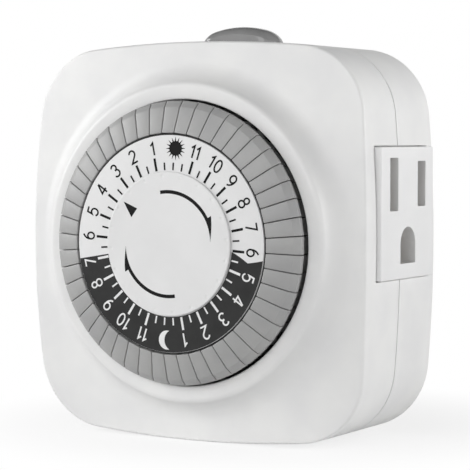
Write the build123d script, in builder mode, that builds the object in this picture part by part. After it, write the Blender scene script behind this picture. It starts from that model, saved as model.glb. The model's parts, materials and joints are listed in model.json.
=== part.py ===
from build123d import *

import math
import os

os.makedirs("parts", exist_ok=True)

# A plug-in 24-hour timer switch with a grounded three-pin plug on its back and one outlet on its side.
# Millimetres. The origin is the middle of the ground pin where it leaves the back face, on the dial's axis.
# +X points to the side with the outlet, -Y to the front, +Z up. "Forward" is a distance in front of the
# back face, so a forward of 10 is the plane Y = -10.

# ---- Housing ----
body_width = 78.6
body_height = 81.0
side_bow = 2.4
corner_radius = 15.0
rear_depth = 17.1
front_depth = 15.1
dome_radius = 295.0
wall = 2.0
back_wall = 2.2
back_edge_radius = 1.6
seam_gap = 0.1
lip_height = 1.5
end_play = 0.2
pilot_extra = 1.0
fit_gap = 0.1
free_gap = 0.3

# ---- Bezel and the well that the dial turns in ----
rim_gap = 0.3
rim_width = 2.4
rim_height = 4.3
rim_shoulder_width = 1.2
rim_shoulder_drop = 0.75
cove_margin = 2.3
cove_slope = 0.1
well_wall = 1.6
well_step = 0.7
well_step_drop = 0.6
floor_back = 24.9
floor_thickness = 1.5
floor_hole_radius = 7.9

# ---- Recess for the rating label on the back ----
rating_z = -22.0
rating_width = 34.0
rating_height = 18.0
rating_corner = 2.0
rating_depth = 0.3

# ---- Housing screws ----
post_side_inset = 9.8
post_end_inset = 10.0
post_radius = 3.6
screw_post_radius = 4.3
screw_radius = 1.5
screw_length = 16.0
screw_head_radius = 2.75
screw_head_height = 2.0
screw_seat = 7.0
screw_recess = (2.6, 0.6)

# ---- Dial ----
dial_proud = 8.95
dial_turn = -3.2
label_radius = 21.65
label_bore = 13.2
label_thickness = 0.4
pointer_radius = 14.4
pointer_proud = 0.55
pointer_lift = 0.1
pointer_recess = 0.8
pointer_boss_wall = 0.65
carrier_face = 1.7
label_edge = 0.25
carrier_drum_wall = 2.5
flange_inset = 0.1
carrier_flange = 1.6
hub_radius = 6.6
hub_lift = 0.4
arbor_radius = 2.5
arbor_clearance = 0.05
arbor_head_radius = 4.0
arbor_head = 0.8
dial_screw_head_radius = 3.4
dial_screw_head = 1.5
dial_screw_radius = 1.25
dial_screw_length = 8.0
dial_screw_recess = (4.0, 0.8)

# ---- Trip tabs, one for each half hour ----
tab_count = 48
tabs_in_group = 2
tab_drum_gap = 0.2
tab_bevel_width = 1.2
tab_outer_radius = 28.5
tab_inner_proud = 9.1
tab_bevel_proud = 7.3
tab_outer_proud = 6.3
tab_lip_height = 1.2
tab_lip_depth = 0.9
tab_gap_angle = 0.35
tab_travel = 2.5
foot_inset = 2.0
foot_depth = 2.0
foot_width = 1.6
foot_slide_gap = 0.2
foot_floor_gap = 0.6
foot_recess = 0.1
key_width = 1.2
key_depth = 1.05
key_slide_gap = 0.15
key_cover = 0.75

# ---- Gears ----
gear_module = 0.5
pressure_angle = 20.0
gear_backlash = 0.12
tooth_tip = 0.92
tooth_root = 1.2
gear_lift = 0.8
dial_gear_teeth = 72
idler_pinion_teeth = 12
idler_wheel_teeth = 48
motor_pinion_teeth = 12
dial_gear_face = 2.0
dog_count = 3
dog_width = 1.4
dog_height = 0.8
dog_angle = 90.0
idler_arbor_radius = 1.0
idler_bush_radius = 2.2
idler_head_radius = 1.9
idler_end_gap = 0.4
idler_wheel_face = 1.4
idler_pinion_face = 2.4

# ---- Movement plate and its screws ----
plate_back = 20.0
plate_thickness = 1.6
plate_left = -25.0
plate_right = 16.0
plate_end_inset = 4.5
plate_top = 22.0
tongue_half_width = 7.0
tongue_rise = 5.5
plate_screws = [(-20.0, 17.0), (13.0, -24.0), (13.0, 19.0)]
boss_radius = 2.6
small_screw_radius = 1.25
small_screw_length = 4.5
small_screw_head_radius = 2.2
small_screw_head = 1.4
small_screw_recess = (2.2, 0.5)

# ---- Motor ----
motor_x = -17.0
motor_z = -17.0
motor_radius = 14.0
motor_depth = 12.8
motor_front = 17.8
motor_skin = 0.8
ear_angle = 75.1
ear_reach = 16.8
ear_radius = 2.6
coil_inner_radius = 8.4
coil_outer_radius = 12.8
coil_length = 8.0
rotor_radius = 6.9
rotor_length = 7.0
rotor_shaft_radius = 0.75
motor_bearing_clearance = 0.05
output_shaft_radius = 1.2
motor_hub_radius = 3.2
motor_hub_depth = 2.6
can_floor = 2.2
lead_window_offset = 4.0
lead_window_forward = 12.0
lead_window_size = (6.4, 2.4)

# ---- Plug: grounded two-blade pattern ----
blade_spacing = 12.7
blade_rise = 11.9
blade_thickness = 1.5
line_blade_width = 6.35
neutral_blade_width = 7.94
blade_length = 17.5
blade_hole_radius = 1.6
blade_hole_reach = 11.7
ground_pin_radius = 2.375
ground_pin_length = 21.4
pin_tip_radius = 2.0
pin_root_radius = 2.6
pin_collar_radius = 3.5
pin_collar = 1.5
pin_tail_radius = 1.5
pin_peen = 0.7
strap = 0.8
strap_rail = 0.95
bus_outer_x = 13.0
bus_width = 5.0
bus_left_x = -17.0
neutral_shelf_z = 19.2
shelf_strap_width = 4.0
shelf_strap_front = 17.0
blade_tip_chamfer = 0.5
blade_foot = 1.2

# ---- Motor leads: their bends, from the motor's axis, its top edge and the plug's straps ----
lead_radius = 0.7
lead_gap = 0.3
neutral_lead_offset = 2.0
neutral_lead_rise = 5.0
neutral_lead_landing = 6.0
neutral_lead_drop = 1.7
neutral_lead_reach = 3.5
neutral_lead_bend = 1.5
line_lead_offset = 5.0
line_lead_stub = 0.6
line_lead_rise = 8.0
line_lead_high = 3.5
line_lead_low = 1.2
line_lead_landing = 4.0
line_lead_step = 2.0
line_lead_tail = 3.0
line_lead_bend = 1.2

# ---- Outlet on the side ----
outlet_forward = 15.7
outlet_plate_z = 6.2
outlet_proud = 1.0
outlet_plate_depth = 24.0
outlet_plate_height = 26.3
outlet_flange_inset = 4.3
outlet_flange = 1.4
outlet_flange_lip = 1.2
slot_width = 3.7
neutral_slot_height = 10.5
line_slot_height = 9.1
ground_hole_width = 6.9
ground_hole_rise = 3.4
ground_hole_drop = 3.9
outlet_block_depth = 12.0
contact_leaf_thickness = 0.6
contact_opening = 1.4
contact_height = 7.0
contact_pinch = 0.2
outlet_edge = 0.3
contact_depth = 13.5
contact_mouth_gap = 0.6
contact_flare = 2.1
flare_ramp = 2.0
ground_opening = 4.6
ground_contact_height = 6.0
ground_depth = 18.6
ground_flare = 6.9
pocket_gap = 0.3
outlet_block_front = 24.7
outlet_block_back = 6.5
outlet_block_top = 17.5
outlet_block_bottom = -5.5

# ---- Switch ----
switch_travel = 2.2
follower_half_width = 3.0
follower_half_height = 2.5
follower_tail = 10.0
pusher_reach = 0.5
pusher_width = 1.2
pusher_height = 4.0
follower_shoulder = 19.7
follower_waist_front = 24.0
nose_width = 0.9
nose_height = 1.95
nose_gap = 0.3
neck_width = 3.0
neck_height = 3.1
neck_front = 26.5
leaf_thickness = 0.4
leaf_tip_x = -16.2
leaf_root_x = 21.0
leaf_half_height = 2.5
contact_x = -14.0
rivet_radius = 1.6
rivet_head = 0.7
closed_gap = 0.15
rivet_shank_radius = 0.8
rivet_tail = 0.4
rivet_edge = 0.5
leaf_margin = 0.5
leaf_seat = 3.6

# ---- Manual override button ----
button_length = 18.4
button_width = 7.0
button_forward = 11.7
button_rise = 3.9
button_crown_radius = 22.0
button_edge_radius = 1.9
button_flange_lip = 1.2
button_flange = 1.5
button_stop_gap = 0.4
stem_half_width = 1.2
stem_forward = 13.7
stem_depth = 3.2
wedge_land = 0.8
wedge_lift = 1.6
wedge_gap = 0.2
shelf_thickness = 1.0
shelf_left = -7.0
shelf_right = 9.0
shelf_front = 16.8
cheek = 1.0
cheek_lift = 1.0
spring_radius = 2.35
spring_wire = 0.22
spring_pitch = 1.15
latch_x = 5.0
latch_width = 1.6
latch_depth = 4.0
latch_length = 3.9
latch_groove = 0.6
latch_groove_start = 0.3
latch_groove_length = 3.1
latch_wire_radius = 0.25
latch_tip_drop = 2.9
latch_tip_gap = 0.15
latch_wire_offset = 0.8
latch_wire_bend = 0.4

# ---- Places worked out from the sizes above ----
half_width = body_width / 2
half_height = body_height / 2
seam = rear_depth
crease = rear_depth + front_depth
rim_top = crease + rim_height
rim_inner_radius = tab_outer_radius + rim_gap
rim_outer_radius = rim_inner_radius + rim_width
cove_radius = half_width - cove_margin
post_x = half_width - post_side_inset
post_z = half_height - post_end_inset
floor_front = floor_back + floor_thickness
well_radius = rim_inner_radius + well_wall
carrier_drum_radius = label_radius + label_edge
carrier_flange_radius = tab_outer_radius - flange_inset
tab_inner_radius = carrier_drum_radius + tab_drum_gap
tab_bevel_radius = tab_outer_radius - tab_bevel_width
tab_lip_back = crease + tab_outer_proud - tab_lip_height
foot_radius = tab_outer_radius - foot_inset
label_face = crease + dial_proud
label_back = label_face - label_thickness
pointer_seat = label_back - pointer_recess
pointer_boss_radius = dial_screw_head_radius + arbor_clearance + pointer_boss_wall
carrier_inside = label_back - carrier_face
flange_back = floor_front + foot_floor_gap + tab_travel - foot_recess
flange_front = flange_back + carrier_flange
block_back = flange_front + tab_travel + free_gap
foot_end = flange_back + foot_recess
key_front = label_back - key_cover
tab_step = 360 / tab_count
plate_front = plate_back + plate_thickness
gear_back = plate_front + gear_lift
gear_front = gear_back + dial_gear_face
hub_back = plate_front + hub_lift
arbor_front = pointer_seat - dial_screw_head - end_play
hub_shoulder = arbor_front - end_play
idler_wheel_front = plate_back - idler_end_gap
idler_back = idler_wheel_front - idler_wheel_face
plate_bottom = plate_end_inset - half_height
tongue_top = foot_radius + tongue_rise
slot_half_spacing = blade_spacing / 2
foot_front = back_wall + strap_rail + strap + blade_foot
strap_back = foot_front - blade_foot - strap
line_forward = outlet_forward - slot_half_spacing
neutral_forward = outlet_forward + slot_half_spacing
outlet_face_x = half_width + outlet_proud
outlet_flange_x = half_width - outlet_flange_inset
carrier_inner_x = outlet_flange_x - outlet_block_depth
contact_back_x = outlet_flange_x - contact_depth
contact_mouth_x = outlet_flange_x - contact_mouth_gap
ground_back_x = outlet_flange_x - ground_depth
follower_bottom = foot_radius - follower_half_height
follower_top = foot_radius + follower_half_height
wedge_bottom = follower_bottom + wedge_lift
cheek_bottom = follower_bottom + cheek_lift
shelf_bottom = follower_top + free_gap
button_top = half_height + button_rise
flange_top = half_height - wall - button_stop_gap
flange_bottom = flange_top - button_flange
shelf_top = shelf_bottom + shelf_thickness
latch_bottom = flange_bottom - latch_length
latch_groove_top = flange_bottom - latch_groove_start
latch_tip_z = flange_bottom - latch_tip_drop
leaf_front = follower_tail - pusher_reach - fit_gap
leaf_back = leaf_front - leaf_thickness
leaf_arm = leaf_root_x - contact_x
leaf_middle_z = foot_radius
leaf_top = leaf_middle_z + leaf_half_height
leaf_bottom = leaf_middle_z - leaf_half_height
leaf_swing = switch_travel / leaf_root_x
contact_gap = leaf_arm * leaf_swing + closed_gap
bus_bottom = blade_rise - neutral_blade_width / 2
stem_rear = stem_forward - stem_depth / 2
stem_front = stem_forward + stem_depth / 2
wedge_sum = wedge_bottom + stem_front - wedge_land


def pitch_radius(teeth):
    """Pitch radius of a gear with this many teeth."""
    return teeth * gear_module / 2


def dome_forward(radius, depth=0.0):
    """Forward of the domed front face at a radius from the dial's axis, or of the surface that deep in it."""
    centre = crease - math.sqrt(dome_radius**2 - half_width**2)
    return centre + math.sqrt((dome_radius - depth) ** 2 - radius**2)


def ring_place(radius, angle):
    """X and Z of a point at a radius from the dial's axis, at an angle from +X towards +Z."""
    turn = math.radians(angle)
    return (radius * math.cos(turn), radius * math.sin(turn))


# The idler meshes with the dial gear and with the motor's pinion, so its place closes a triangle.
dial_to_idler = pitch_radius(dial_gear_teeth) + pitch_radius(idler_pinion_teeth)
idler_to_motor = pitch_radius(idler_wheel_teeth) + pitch_radius(motor_pinion_teeth)
dial_to_motor = math.hypot(motor_x, motor_z)
motor_bearing = math.degrees(math.atan2(motor_z, motor_x))
closing_angle = math.degrees(
    math.acos(
        (dial_to_idler**2 + dial_to_motor**2 - idler_to_motor**2) / (2 * dial_to_idler * dial_to_motor)
    )
)
idler_bearing = motor_bearing + closing_angle
idler_x, idler_z = ring_place(dial_to_idler, idler_bearing)
motor_line = math.degrees(math.atan2(motor_z - idler_z, motor_x - idler_x))

# The nose of the follower rests between two tabs, at the tab boundary nearest to the top.
nose_angle = 90 + dial_turn
nose_x, nose_z = ring_place(foot_radius, nose_angle)

# Half-section plane through the dial's axis: local x is the radius, local y is forward.
section = Plane(origin=(0, 0, 0), x_dir=(1, 0, 0), z_dir=(0, 0, -1))


def front_plane(forward):
    """Plane across the body, seen from the front, at a distance forward of the back face."""
    return Plane.XZ.offset(forward)


def radial_section(angle):
    """Half-section plane through the dial's axis at an angle from +X towards +Z."""
    turn = math.radians(angle)
    return Plane(
        origin=(0, 0, 0),
        x_dir=(math.cos(turn), 0, math.sin(turn)),
        z_dir=(math.sin(turn), 0, -math.cos(turn)),
    )


def housing_outline(inset=0.0):
    """Bowed square of the housing seen from the front, drawn in by inset."""
    right = half_width - inset
    top = half_height - inset
    with BuildSketch() as outline:
        with BuildLine():
            ThreePointArc((side_bow - right, top - side_bow), (0, top), (right - side_bow, top - side_bow))
            ThreePointArc((right - side_bow, top - side_bow), (right, 0), (right - side_bow, side_bow - top))
            ThreePointArc((right - side_bow, side_bow - top), (0, -top), (side_bow - right, side_bow - top))
            ThreePointArc((side_bow - right, side_bow - top), (-right, 0), (side_bow - right, top - side_bow))
        make_face()
        fillet(outline.vertices(), radius=corner_radius - inset)
    return outline.sketch


def gear_outline(teeth, angle):
    """Involute gear seen from the front, centred on the sketch, with a tooth that points at angle."""
    pitch = pitch_radius(teeth)
    flat = math.radians(pressure_angle)
    base = pitch * math.cos(flat)
    tip = pitch + gear_module * tooth_tip
    root = pitch - gear_module * tooth_root
    half_tooth = math.pi / (2 * teeth) - gear_backlash / (2 * pitch)
    start = half_tooth + math.tan(flat) - flat

    def flank(radius):
        lift = math.acos(min(1.0, base / radius))
        return start - (math.tan(lift) - lift)

    def point(radius, turn):
        return (radius * math.cos(turn), radius * math.sin(turn))

    with BuildSketch() as gear:
        with BuildLine():
            for number in range(teeth):
                middle = math.radians(angle + 360 * number / teeth)
                next_middle = math.radians(angle + 360 * (number + 1) / teeth)
                low = [point(r, middle - flank(r)) for r in (root, pitch, tip)]
                high = [point(r, middle + flank(r)) for r in (tip, pitch, root)]
                ThreePointArc(*low)
                Line(low[2], high[0])
                ThreePointArc(*high)
                Line(high[2], point(root, next_middle - flank(root)))
        make_face()
    return gear.sketch


def cross(size):
    """Cross recess in a screw's head, centred on the sketch, from its (length, width)."""
    with BuildSketch() as recess:
        Rectangle(size[0], size[1])
        Rectangle(size[1], size[0])
    return recess.sketch


def stadium(length, width):
    """Bar with round ends, centred on the sketch, with its length along local x."""
    with BuildSketch() as bar:
        SlotOverall(length, width)
    return bar.sketch


# ================= Front shell =================
with BuildPart() as front_shell:
    with BuildSketch(front_plane(seam + seam_gap / 2)):
        add(housing_outline())
    extrude(amount=rim_top - seam)
    with BuildSketch(section):
        with BuildLine():
            dome = ThreePointArc(
                (0, dome_forward(0)), (half_width, crease), (body_width, dome_forward(body_width))
            )
            Polyline(dome @ 1, (body_width, 0), (0, 0), dome @ 0)
        make_face()
    revolve(axis=Axis.Y, mode=Mode.INTERSECT)
    offset(amount=-wall, openings=front_shell.faces().sort_by(Axis.Y)[-1])
    # Posts for the housing screws, grown into the front wall.
    with BuildSketch(front_plane(seam + seam_gap / 2)):
        with GridLocations(2 * post_x, 2 * post_z, 2, 2):
            Circle(post_radius)
    extrude(amount=dome_forward(math.hypot(post_x, post_z), wall / 2) - seam - seam_gap / 2)
    # The dome is opened and the well, its floor and the bezel are turned into the opening.
    with BuildSketch(front_plane(floor_back)):
        Circle(cove_radius - well_wall / 2)
    extrude(amount=rim_top, mode=Mode.SUBTRACT)
    with BuildSketch(section):
        with BuildLine():
            shoulder = (rim_outer_radius + rim_shoulder_width, rim_top - rim_shoulder_drop)
            inner = Polyline(
                (cove_radius, dome_forward(cove_radius)),
                (cove_radius, dome_forward(cove_radius, wall)),
                (well_radius + well_step, rim_top - wall - well_step_drop - well_step),
                (well_radius, rim_top - wall - well_step_drop),
                (well_radius, floor_back),
                (floor_hole_radius, floor_back),
                (floor_hole_radius, floor_front),
                (rim_inner_radius, floor_front),
                (rim_inner_radius, rim_top),
                (rim_outer_radius, rim_top),
            )
            cove = TangentArc(inner @ 0, shoulder, tangent=(-1, cove_slope))
            TangentArc(cove @ 1, inner @ 1, tangent=cove % 1)
        make_face()
    revolve(axis=Axis.Y)
    # Bosses for the movement plate, and the idler arbor's socket, on the back of the floor.
    with BuildSketch(front_plane(plate_front)):
        with Locations(*plate_screws):
            Circle(boss_radius)
    extrude(amount=floor_back - plate_front)
    with BuildSketch(front_plane(plate_front)):
        with Locations(*plate_screws):
            Circle(small_screw_radius + arbor_clearance)
    extrude(amount=floor_back - plate_front, mode=Mode.SUBTRACT)
    with BuildSketch(front_plane(floor_back)):
        with Locations((idler_x, idler_z)):
            Circle(idler_arbor_radius + arbor_clearance)
    extrude(amount=floor_thickness / 2, mode=Mode.SUBTRACT)
    # Pilot holes in the posts.
    with BuildSketch(front_plane(seam)):
        with GridLocations(2 * post_x, 2 * post_z, 2, 2):
            Circle(screw_radius + arbor_clearance)
    extrude(amount=screw_seat + screw_length - seam + pilot_extra, mode=Mode.SUBTRACT)
    # Window in the floor for the follower's neck and nose.
    with BuildSketch(front_plane(floor_back)):
        with Locations((nose_x, nose_z)):
            Rectangle(neck_width + 2 * free_gap, neck_height + 2 * free_gap)
    extrude(amount=floor_thickness, mode=Mode.SUBTRACT)
    # Rebate that takes the rear shell's lip.
    with BuildSketch(front_plane(seam)):
        add(housing_outline(wall / 2))
        add(housing_outline(wall), mode=Mode.SUBTRACT)
    extrude(amount=lip_height + fit_gap + seam_gap, mode=Mode.SUBTRACT)
    # Half of the outlet's window.
    with BuildSketch(Plane.YZ.offset(outlet_flange_x)):
        with Locations((-outlet_forward, outlet_plate_z)):
            Rectangle(outlet_plate_depth + 2 * fit_gap, outlet_plate_height + 2 * fit_gap)
    extrude(amount=outlet_face_x - outlet_flange_x, mode=Mode.SUBTRACT)
front_shell.part.label = "front_shell"
export_step(front_shell.part, "parts/front_shell.step")

# ================= Rear shell =================
with BuildPart() as rear_shell:
    with BuildSketch(front_plane(0)):
        add(housing_outline())
    extrude(amount=seam - seam_gap / 2)
    fillet(rear_shell.faces().sort_by(Axis.Y)[-1].edges(), radius=back_edge_radius)
    with BuildSketch(front_plane(back_wall)):
        add(housing_outline(wall))
    extrude(amount=seam, mode=Mode.SUBTRACT)
    # Lip that stands into the front shell.
    with BuildSketch(front_plane(seam - wall)):
        add(housing_outline(wall / 2 + fit_gap))
        add(housing_outline(wall), mode=Mode.SUBTRACT)
    extrude(amount=wall + lip_height)
    # Screw posts.
    with BuildSketch(front_plane(back_wall / 2)):
        with GridLocations(2 * post_x, 2 * post_z, 2, 2):
            Circle(screw_post_radius)
    extrude(amount=seam - seam_gap / 2 - back_wall / 2)
    with BuildSketch(front_plane(0)):
        with GridLocations(2 * post_x, 2 * post_z, 2, 2):
            Circle(screw_radius + fit_gap)
    extrude(amount=seam, mode=Mode.SUBTRACT)
    with BuildSketch(front_plane(0)):
        with GridLocations(2 * post_x, 2 * post_z, 2, 2):
            Circle(screw_head_radius + fit_gap)
    extrude(amount=screw_seat, mode=Mode.SUBTRACT)
    # Shelf over the follower, with cheeks that guide it.
    with BuildSketch(Plane.XY.offset(shelf_bottom)):
        with Locations((shelf_left, -back_wall / 2)):
            Rectangle(shelf_right - shelf_left, shelf_front - back_wall / 2, align=(Align.MIN, Align.MAX))
    extrude(amount=shelf_thickness)
    with BuildSketch(Plane.XY.offset(cheek_bottom)):
        with Locations((0, -stem_forward)):
            Rectangle(2 * (follower_half_width + free_gap + cheek), stem_depth + 2 * cheek)
            Rectangle(2 * (follower_half_width + free_gap), stem_depth + 2 * cheek, mode=Mode.SUBTRACT)
    extrude(amount=shelf_top - cheek_bottom)
    with BuildSketch(Plane.XY.offset(shelf_bottom)):
        with Locations((0, -stem_forward)):
            Rectangle(2 * (stem_half_width + free_gap), stem_depth + 2 * free_gap)
        with Locations((latch_x + latch_width / 2, -stem_forward)):
            Rectangle(latch_width + 2 * free_gap, latch_depth + 2 * free_gap)
    extrude(amount=shelf_thickness, mode=Mode.SUBTRACT)
    with BuildSketch(Plane.XY.offset(shelf_bottom + shelf_thickness / 2)):
        with Locations((latch_x + latch_width + latch_wire_offset, -stem_forward)):
            Circle(latch_wire_radius)
    extrude(amount=shelf_thickness / 2, mode=Mode.SUBTRACT)
    # Rails that the straps lie on.
    with BuildSketch(front_plane(back_wall / 2)):
        with Locations((-bus_outer_x, bus_bottom)):
            Rectangle(bus_width, neutral_shelf_z - bus_bottom, align=(Align.MIN, Align.MIN))
        with Locations((bus_outer_x, bus_bottom)):
            Rectangle(bus_width, leaf_top - bus_bottom, align=(Align.MAX, Align.MIN))
        with Locations((bus_outer_x, leaf_bottom)):
            Rectangle(bus_outer_x - bus_left_x, leaf_top - leaf_bottom, align=(Align.MAX, Align.MIN))
        with Locations((contact_x, (leaf_top + leaf_bottom) / 2)):
            Circle(rivet_radius, mode=Mode.SUBTRACT)
    extrude(amount=strap_back - back_wall / 2)
    # Hole for the override button in the top wall.
    with BuildSketch(Plane.XY.offset(half_height - 2 * wall)):
        with Locations((0, -button_forward)):
            add(stadium(button_length + 2 * free_gap, button_width + 2 * free_gap))
    extrude(amount=3 * wall, mode=Mode.SUBTRACT)
    # Slots for the blades and a hole for the ground pin.
    with BuildSketch(front_plane(0)):
        with Locations((slot_half_spacing, blade_rise)):
            Rectangle(blade_thickness + 2 * fit_gap, line_blade_width + 2 * fit_gap)
        with Locations((-slot_half_spacing, blade_rise)):
            Rectangle(blade_thickness + 2 * fit_gap, neutral_blade_width + 2 * fit_gap)
        Circle(pin_root_radius + fit_gap)
    extrude(amount=back_wall, mode=Mode.SUBTRACT)
    # Shallow recess for a rating label.
    with BuildSketch(front_plane(0)):
        with Locations((0, rating_z)):
            RectangleRounded(rating_width, rating_height, rating_corner)
    extrude(amount=rating_depth, mode=Mode.SUBTRACT)
    # Half of the outlet's window.
    with BuildSketch(Plane.YZ.offset(outlet_flange_x)):
        with Locations((-outlet_forward, outlet_plate_z)):
            Rectangle(outlet_plate_depth + 2 * fit_gap, outlet_plate_height + 2 * fit_gap)
    extrude(amount=outlet_face_x - outlet_flange_x, mode=Mode.SUBTRACT)
rear_shell.part.label = "rear_shell"
export_step(rear_shell.part, "parts/rear_shell.step")

# ================= Housing screws =================
with BuildPart() as housing_screws:
    with BuildSketch(front_plane(screw_seat)):
        with GridLocations(2 * post_x, 2 * post_z, 2, 2):
            Circle(screw_radius)
    extrude(amount=screw_length)
    with BuildSketch(front_plane(screw_seat - screw_head_height)):
        with GridLocations(2 * post_x, 2 * post_z, 2, 2):
            Circle(screw_head_radius)
    extrude(amount=screw_head_height)
    with BuildSketch(front_plane(screw_seat - screw_head_height)):
        with GridLocations(2 * post_x, 2 * post_z, 2, 2):
            add(cross(screw_recess))
    extrude(amount=screw_head_height / 2, mode=Mode.SUBTRACT)
housing_screws.part.label = "housing_screws"
export_step(housing_screws.part, "parts/housing_screws.step")


def at(x, z, forward):
    """Point in space at X and Z and a forward distance."""
    return (x, -forward, z)


def ring(outer, inner):
    """Flat ring centred on the sketch."""
    with BuildSketch() as band:
        Circle(outer)
        Circle(inner, mode=Mode.SUBTRACT)
    return band.sketch


def spring_pair(opening, flare, back_x):
    """Two facing spring leaves with a flared mouth, seen along Z: X along them, centred between them."""
    inner = opening / 2
    narrow = inner - contact_pinch
    throat = contact_mouth_x - flare
    with BuildSketch() as pair:
        for side in (1, -1):
            with BuildLine():
                Polyline(
                    (back_x, side * inner),
                    (throat - flare_ramp, side * inner),
                    (throat, side * narrow),
                    (contact_mouth_x, side * inner),
                    (contact_mouth_x, side * (inner + contact_leaf_thickness)),
                    (throat, side * (narrow + contact_leaf_thickness)),
                    (throat - flare_ramp, side * (inner + contact_leaf_thickness)),
                    (back_x, side * (inner + contact_leaf_thickness)),
                    close=True,
                )
            make_face()
    return pair.sketch


# ================= Movement plate =================
ear_places = [
    (motor_x + ring_place(ear_reach, ear_angle)[0], motor_z + ring_place(ear_reach, ear_angle)[1]),
    (motor_x - ring_place(ear_reach, ear_angle)[0], motor_z - ring_place(ear_reach, ear_angle)[1]),
]
with BuildPart() as movement_plate:
    with BuildSketch(front_plane(plate_back)):
        with Locations((plate_left, plate_bottom)):
            Rectangle(plate_right - plate_left, plate_top - plate_bottom, align=(Align.MIN, Align.MIN))
        with Locations((-tongue_half_width, plate_top)):
            Rectangle(2 * tongue_half_width, tongue_top - plate_top, align=(Align.MIN, Align.MIN))
        with Locations((0, leaf_middle_z)):
            Rectangle(
                2 * (follower_half_width - free_gap + fit_gap),
                follower_top - follower_bottom - 2 * free_gap - 2 * fit_gap,
                mode=Mode.SUBTRACT,
            )
        Circle(arbor_radius, mode=Mode.SUBTRACT)
        with Locations((idler_x, idler_z)):
            Circle(pitch_radius(idler_pinion_teeth) + gear_module + free_gap, mode=Mode.SUBTRACT)
        with Locations(*plate_screws):
            Circle(small_screw_radius + fit_gap, mode=Mode.SUBTRACT)
    extrude(amount=plate_thickness)
    with BuildSketch(front_plane(motor_front)):
        with Locations(*ear_places):
            Circle(ear_radius - fit_gap)
    extrude(amount=plate_back - motor_front)
    with BuildSketch(front_plane(motor_front)):
        with Locations(*ear_places):
            Circle(small_screw_radius + arbor_clearance)
    extrude(amount=plate_front - motor_front, mode=Mode.SUBTRACT)
movement_plate.part.label = "movement_plate"
export_step(movement_plate.part, "parts/movement_plate.step")

# ================= Movement screws: three for the plate, two for the motor =================
with BuildPart() as movement_screws:
    for places, seat in ((plate_screws, plate_back), (ear_places, motor_front - motor_skin)):
        with BuildSketch(front_plane(seat)):
            with Locations(*places):
                Circle(small_screw_radius)
        extrude(amount=small_screw_length)
        with BuildSketch(front_plane(seat - small_screw_head)):
            with Locations(*places):
                Circle(small_screw_head_radius)
        extrude(amount=small_screw_head)
        with BuildSketch(front_plane(seat - small_screw_head)):
            with Locations(*places):
                add(cross(small_screw_recess))
        extrude(amount=small_screw_head / 2, mode=Mode.SUBTRACT)
movement_screws.part.label = "movement_screws"
export_step(movement_screws.part, "parts/movement_screws.step")

# ================= Dial arbor and the screw that holds the dial on it =================
with BuildPart() as dial_arbor:
    with BuildSketch(front_plane(plate_back - arbor_head)):
        Circle(arbor_head_radius)
    extrude(amount=arbor_head)
    with BuildSketch(front_plane(plate_back)):
        Circle(arbor_radius)
    extrude(amount=arbor_front - plate_back)
    with BuildSketch(front_plane(arbor_front)):
        Circle(dial_screw_radius + arbor_clearance)
    extrude(amount=-dial_screw_length - pilot_extra, mode=Mode.SUBTRACT)
dial_arbor.part.label = "dial_arbor"
export_step(dial_arbor.part, "parts/dial_arbor.step")

with BuildPart() as dial_screw:
    with BuildSketch(front_plane(arbor_front - dial_screw_length)):
        Circle(dial_screw_radius)
    extrude(amount=dial_screw_length)
    with BuildSketch(front_plane(arbor_front)):
        Circle(dial_screw_head_radius)
    extrude(amount=dial_screw_head)
    with BuildSketch(front_plane(arbor_front + dial_screw_head)):
        add(cross(dial_screw_recess))
    extrude(amount=-dial_screw_head / 2, mode=Mode.SUBTRACT)
dial_screw.part.label = "dial_screw"
export_step(dial_screw.part, "parts/dial_screw.step")

# ================= Dial carrier: hub, drum and the comb that holds the tabs =================
with BuildPart() as dial_carrier:
    with BuildSketch(section):
        with BuildLine():
            Polyline(
                (arbor_radius + arbor_clearance, hub_back),
                (hub_radius, hub_back),
                (hub_radius, carrier_inside),
                (carrier_drum_radius - carrier_drum_wall, carrier_inside),
                (carrier_drum_radius - carrier_drum_wall, flange_back),
                (carrier_flange_radius, flange_back),
                (carrier_flange_radius, flange_front),
                (carrier_drum_radius, flange_front),
                (carrier_drum_radius, label_back),
                (label_bore, label_back),
                (label_bore, pointer_seat),
                (pointer_boss_radius + free_gap, pointer_seat),
                (pointer_boss_radius + free_gap, hub_shoulder),
                (arbor_radius + arbor_clearance, hub_shoulder),
                close=True,
            )
        make_face()
    revolve(axis=Axis.Y)
    # Dogs that drive the hub from the gear.
    with BuildSketch(front_plane(gear_back)):
        with PolarLocations(hub_radius, dog_count, start_angle=dog_angle):
            Rectangle(2 * dog_height, dog_width)
        Circle(hub_radius - dog_height / 2, mode=Mode.SUBTRACT)
    extrude(amount=dial_gear_face)
    # Comb slots for the feet of the tabs and grooves for their keys.
    with BuildSketch(front_plane(flange_back)):
        with PolarLocations(foot_radius, tab_count, start_angle=nose_angle + tab_step / 2):
            Rectangle(foot_depth + 2 * free_gap, foot_width + 2 * foot_slide_gap)
    extrude(amount=carrier_flange, mode=Mode.SUBTRACT)
    with BuildSketch(front_plane(flange_front)):
        with PolarLocations(carrier_drum_radius, tab_count, start_angle=nose_angle + tab_step / 2):
            Rectangle(2 * (key_depth - fit_gap), key_width + 2 * key_slide_gap)
    extrude(amount=key_front + key_slide_gap - flange_front, mode=Mode.SUBTRACT)
dial_carrier.part.label = "dial_carrier"
export_step(dial_carrier.part, "parts/dial_carrier.step")

# ================= Dial gear =================
with BuildPart() as dial_gear:
    with BuildSketch(front_plane(gear_back)):
        add(gear_outline(dial_gear_teeth, idler_bearing))
        Circle(hub_radius + arbor_clearance, mode=Mode.SUBTRACT)
        with PolarLocations(hub_radius, dog_count, start_angle=dog_angle):
            Rectangle(2 * (dog_height + fit_gap), dog_width + 2 * fit_gap, mode=Mode.SUBTRACT)
    extrude(amount=dial_gear_face)
dial_gear.part.label = "dial_gear"
export_step(dial_gear.part, "parts/dial_gear.step")

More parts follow.
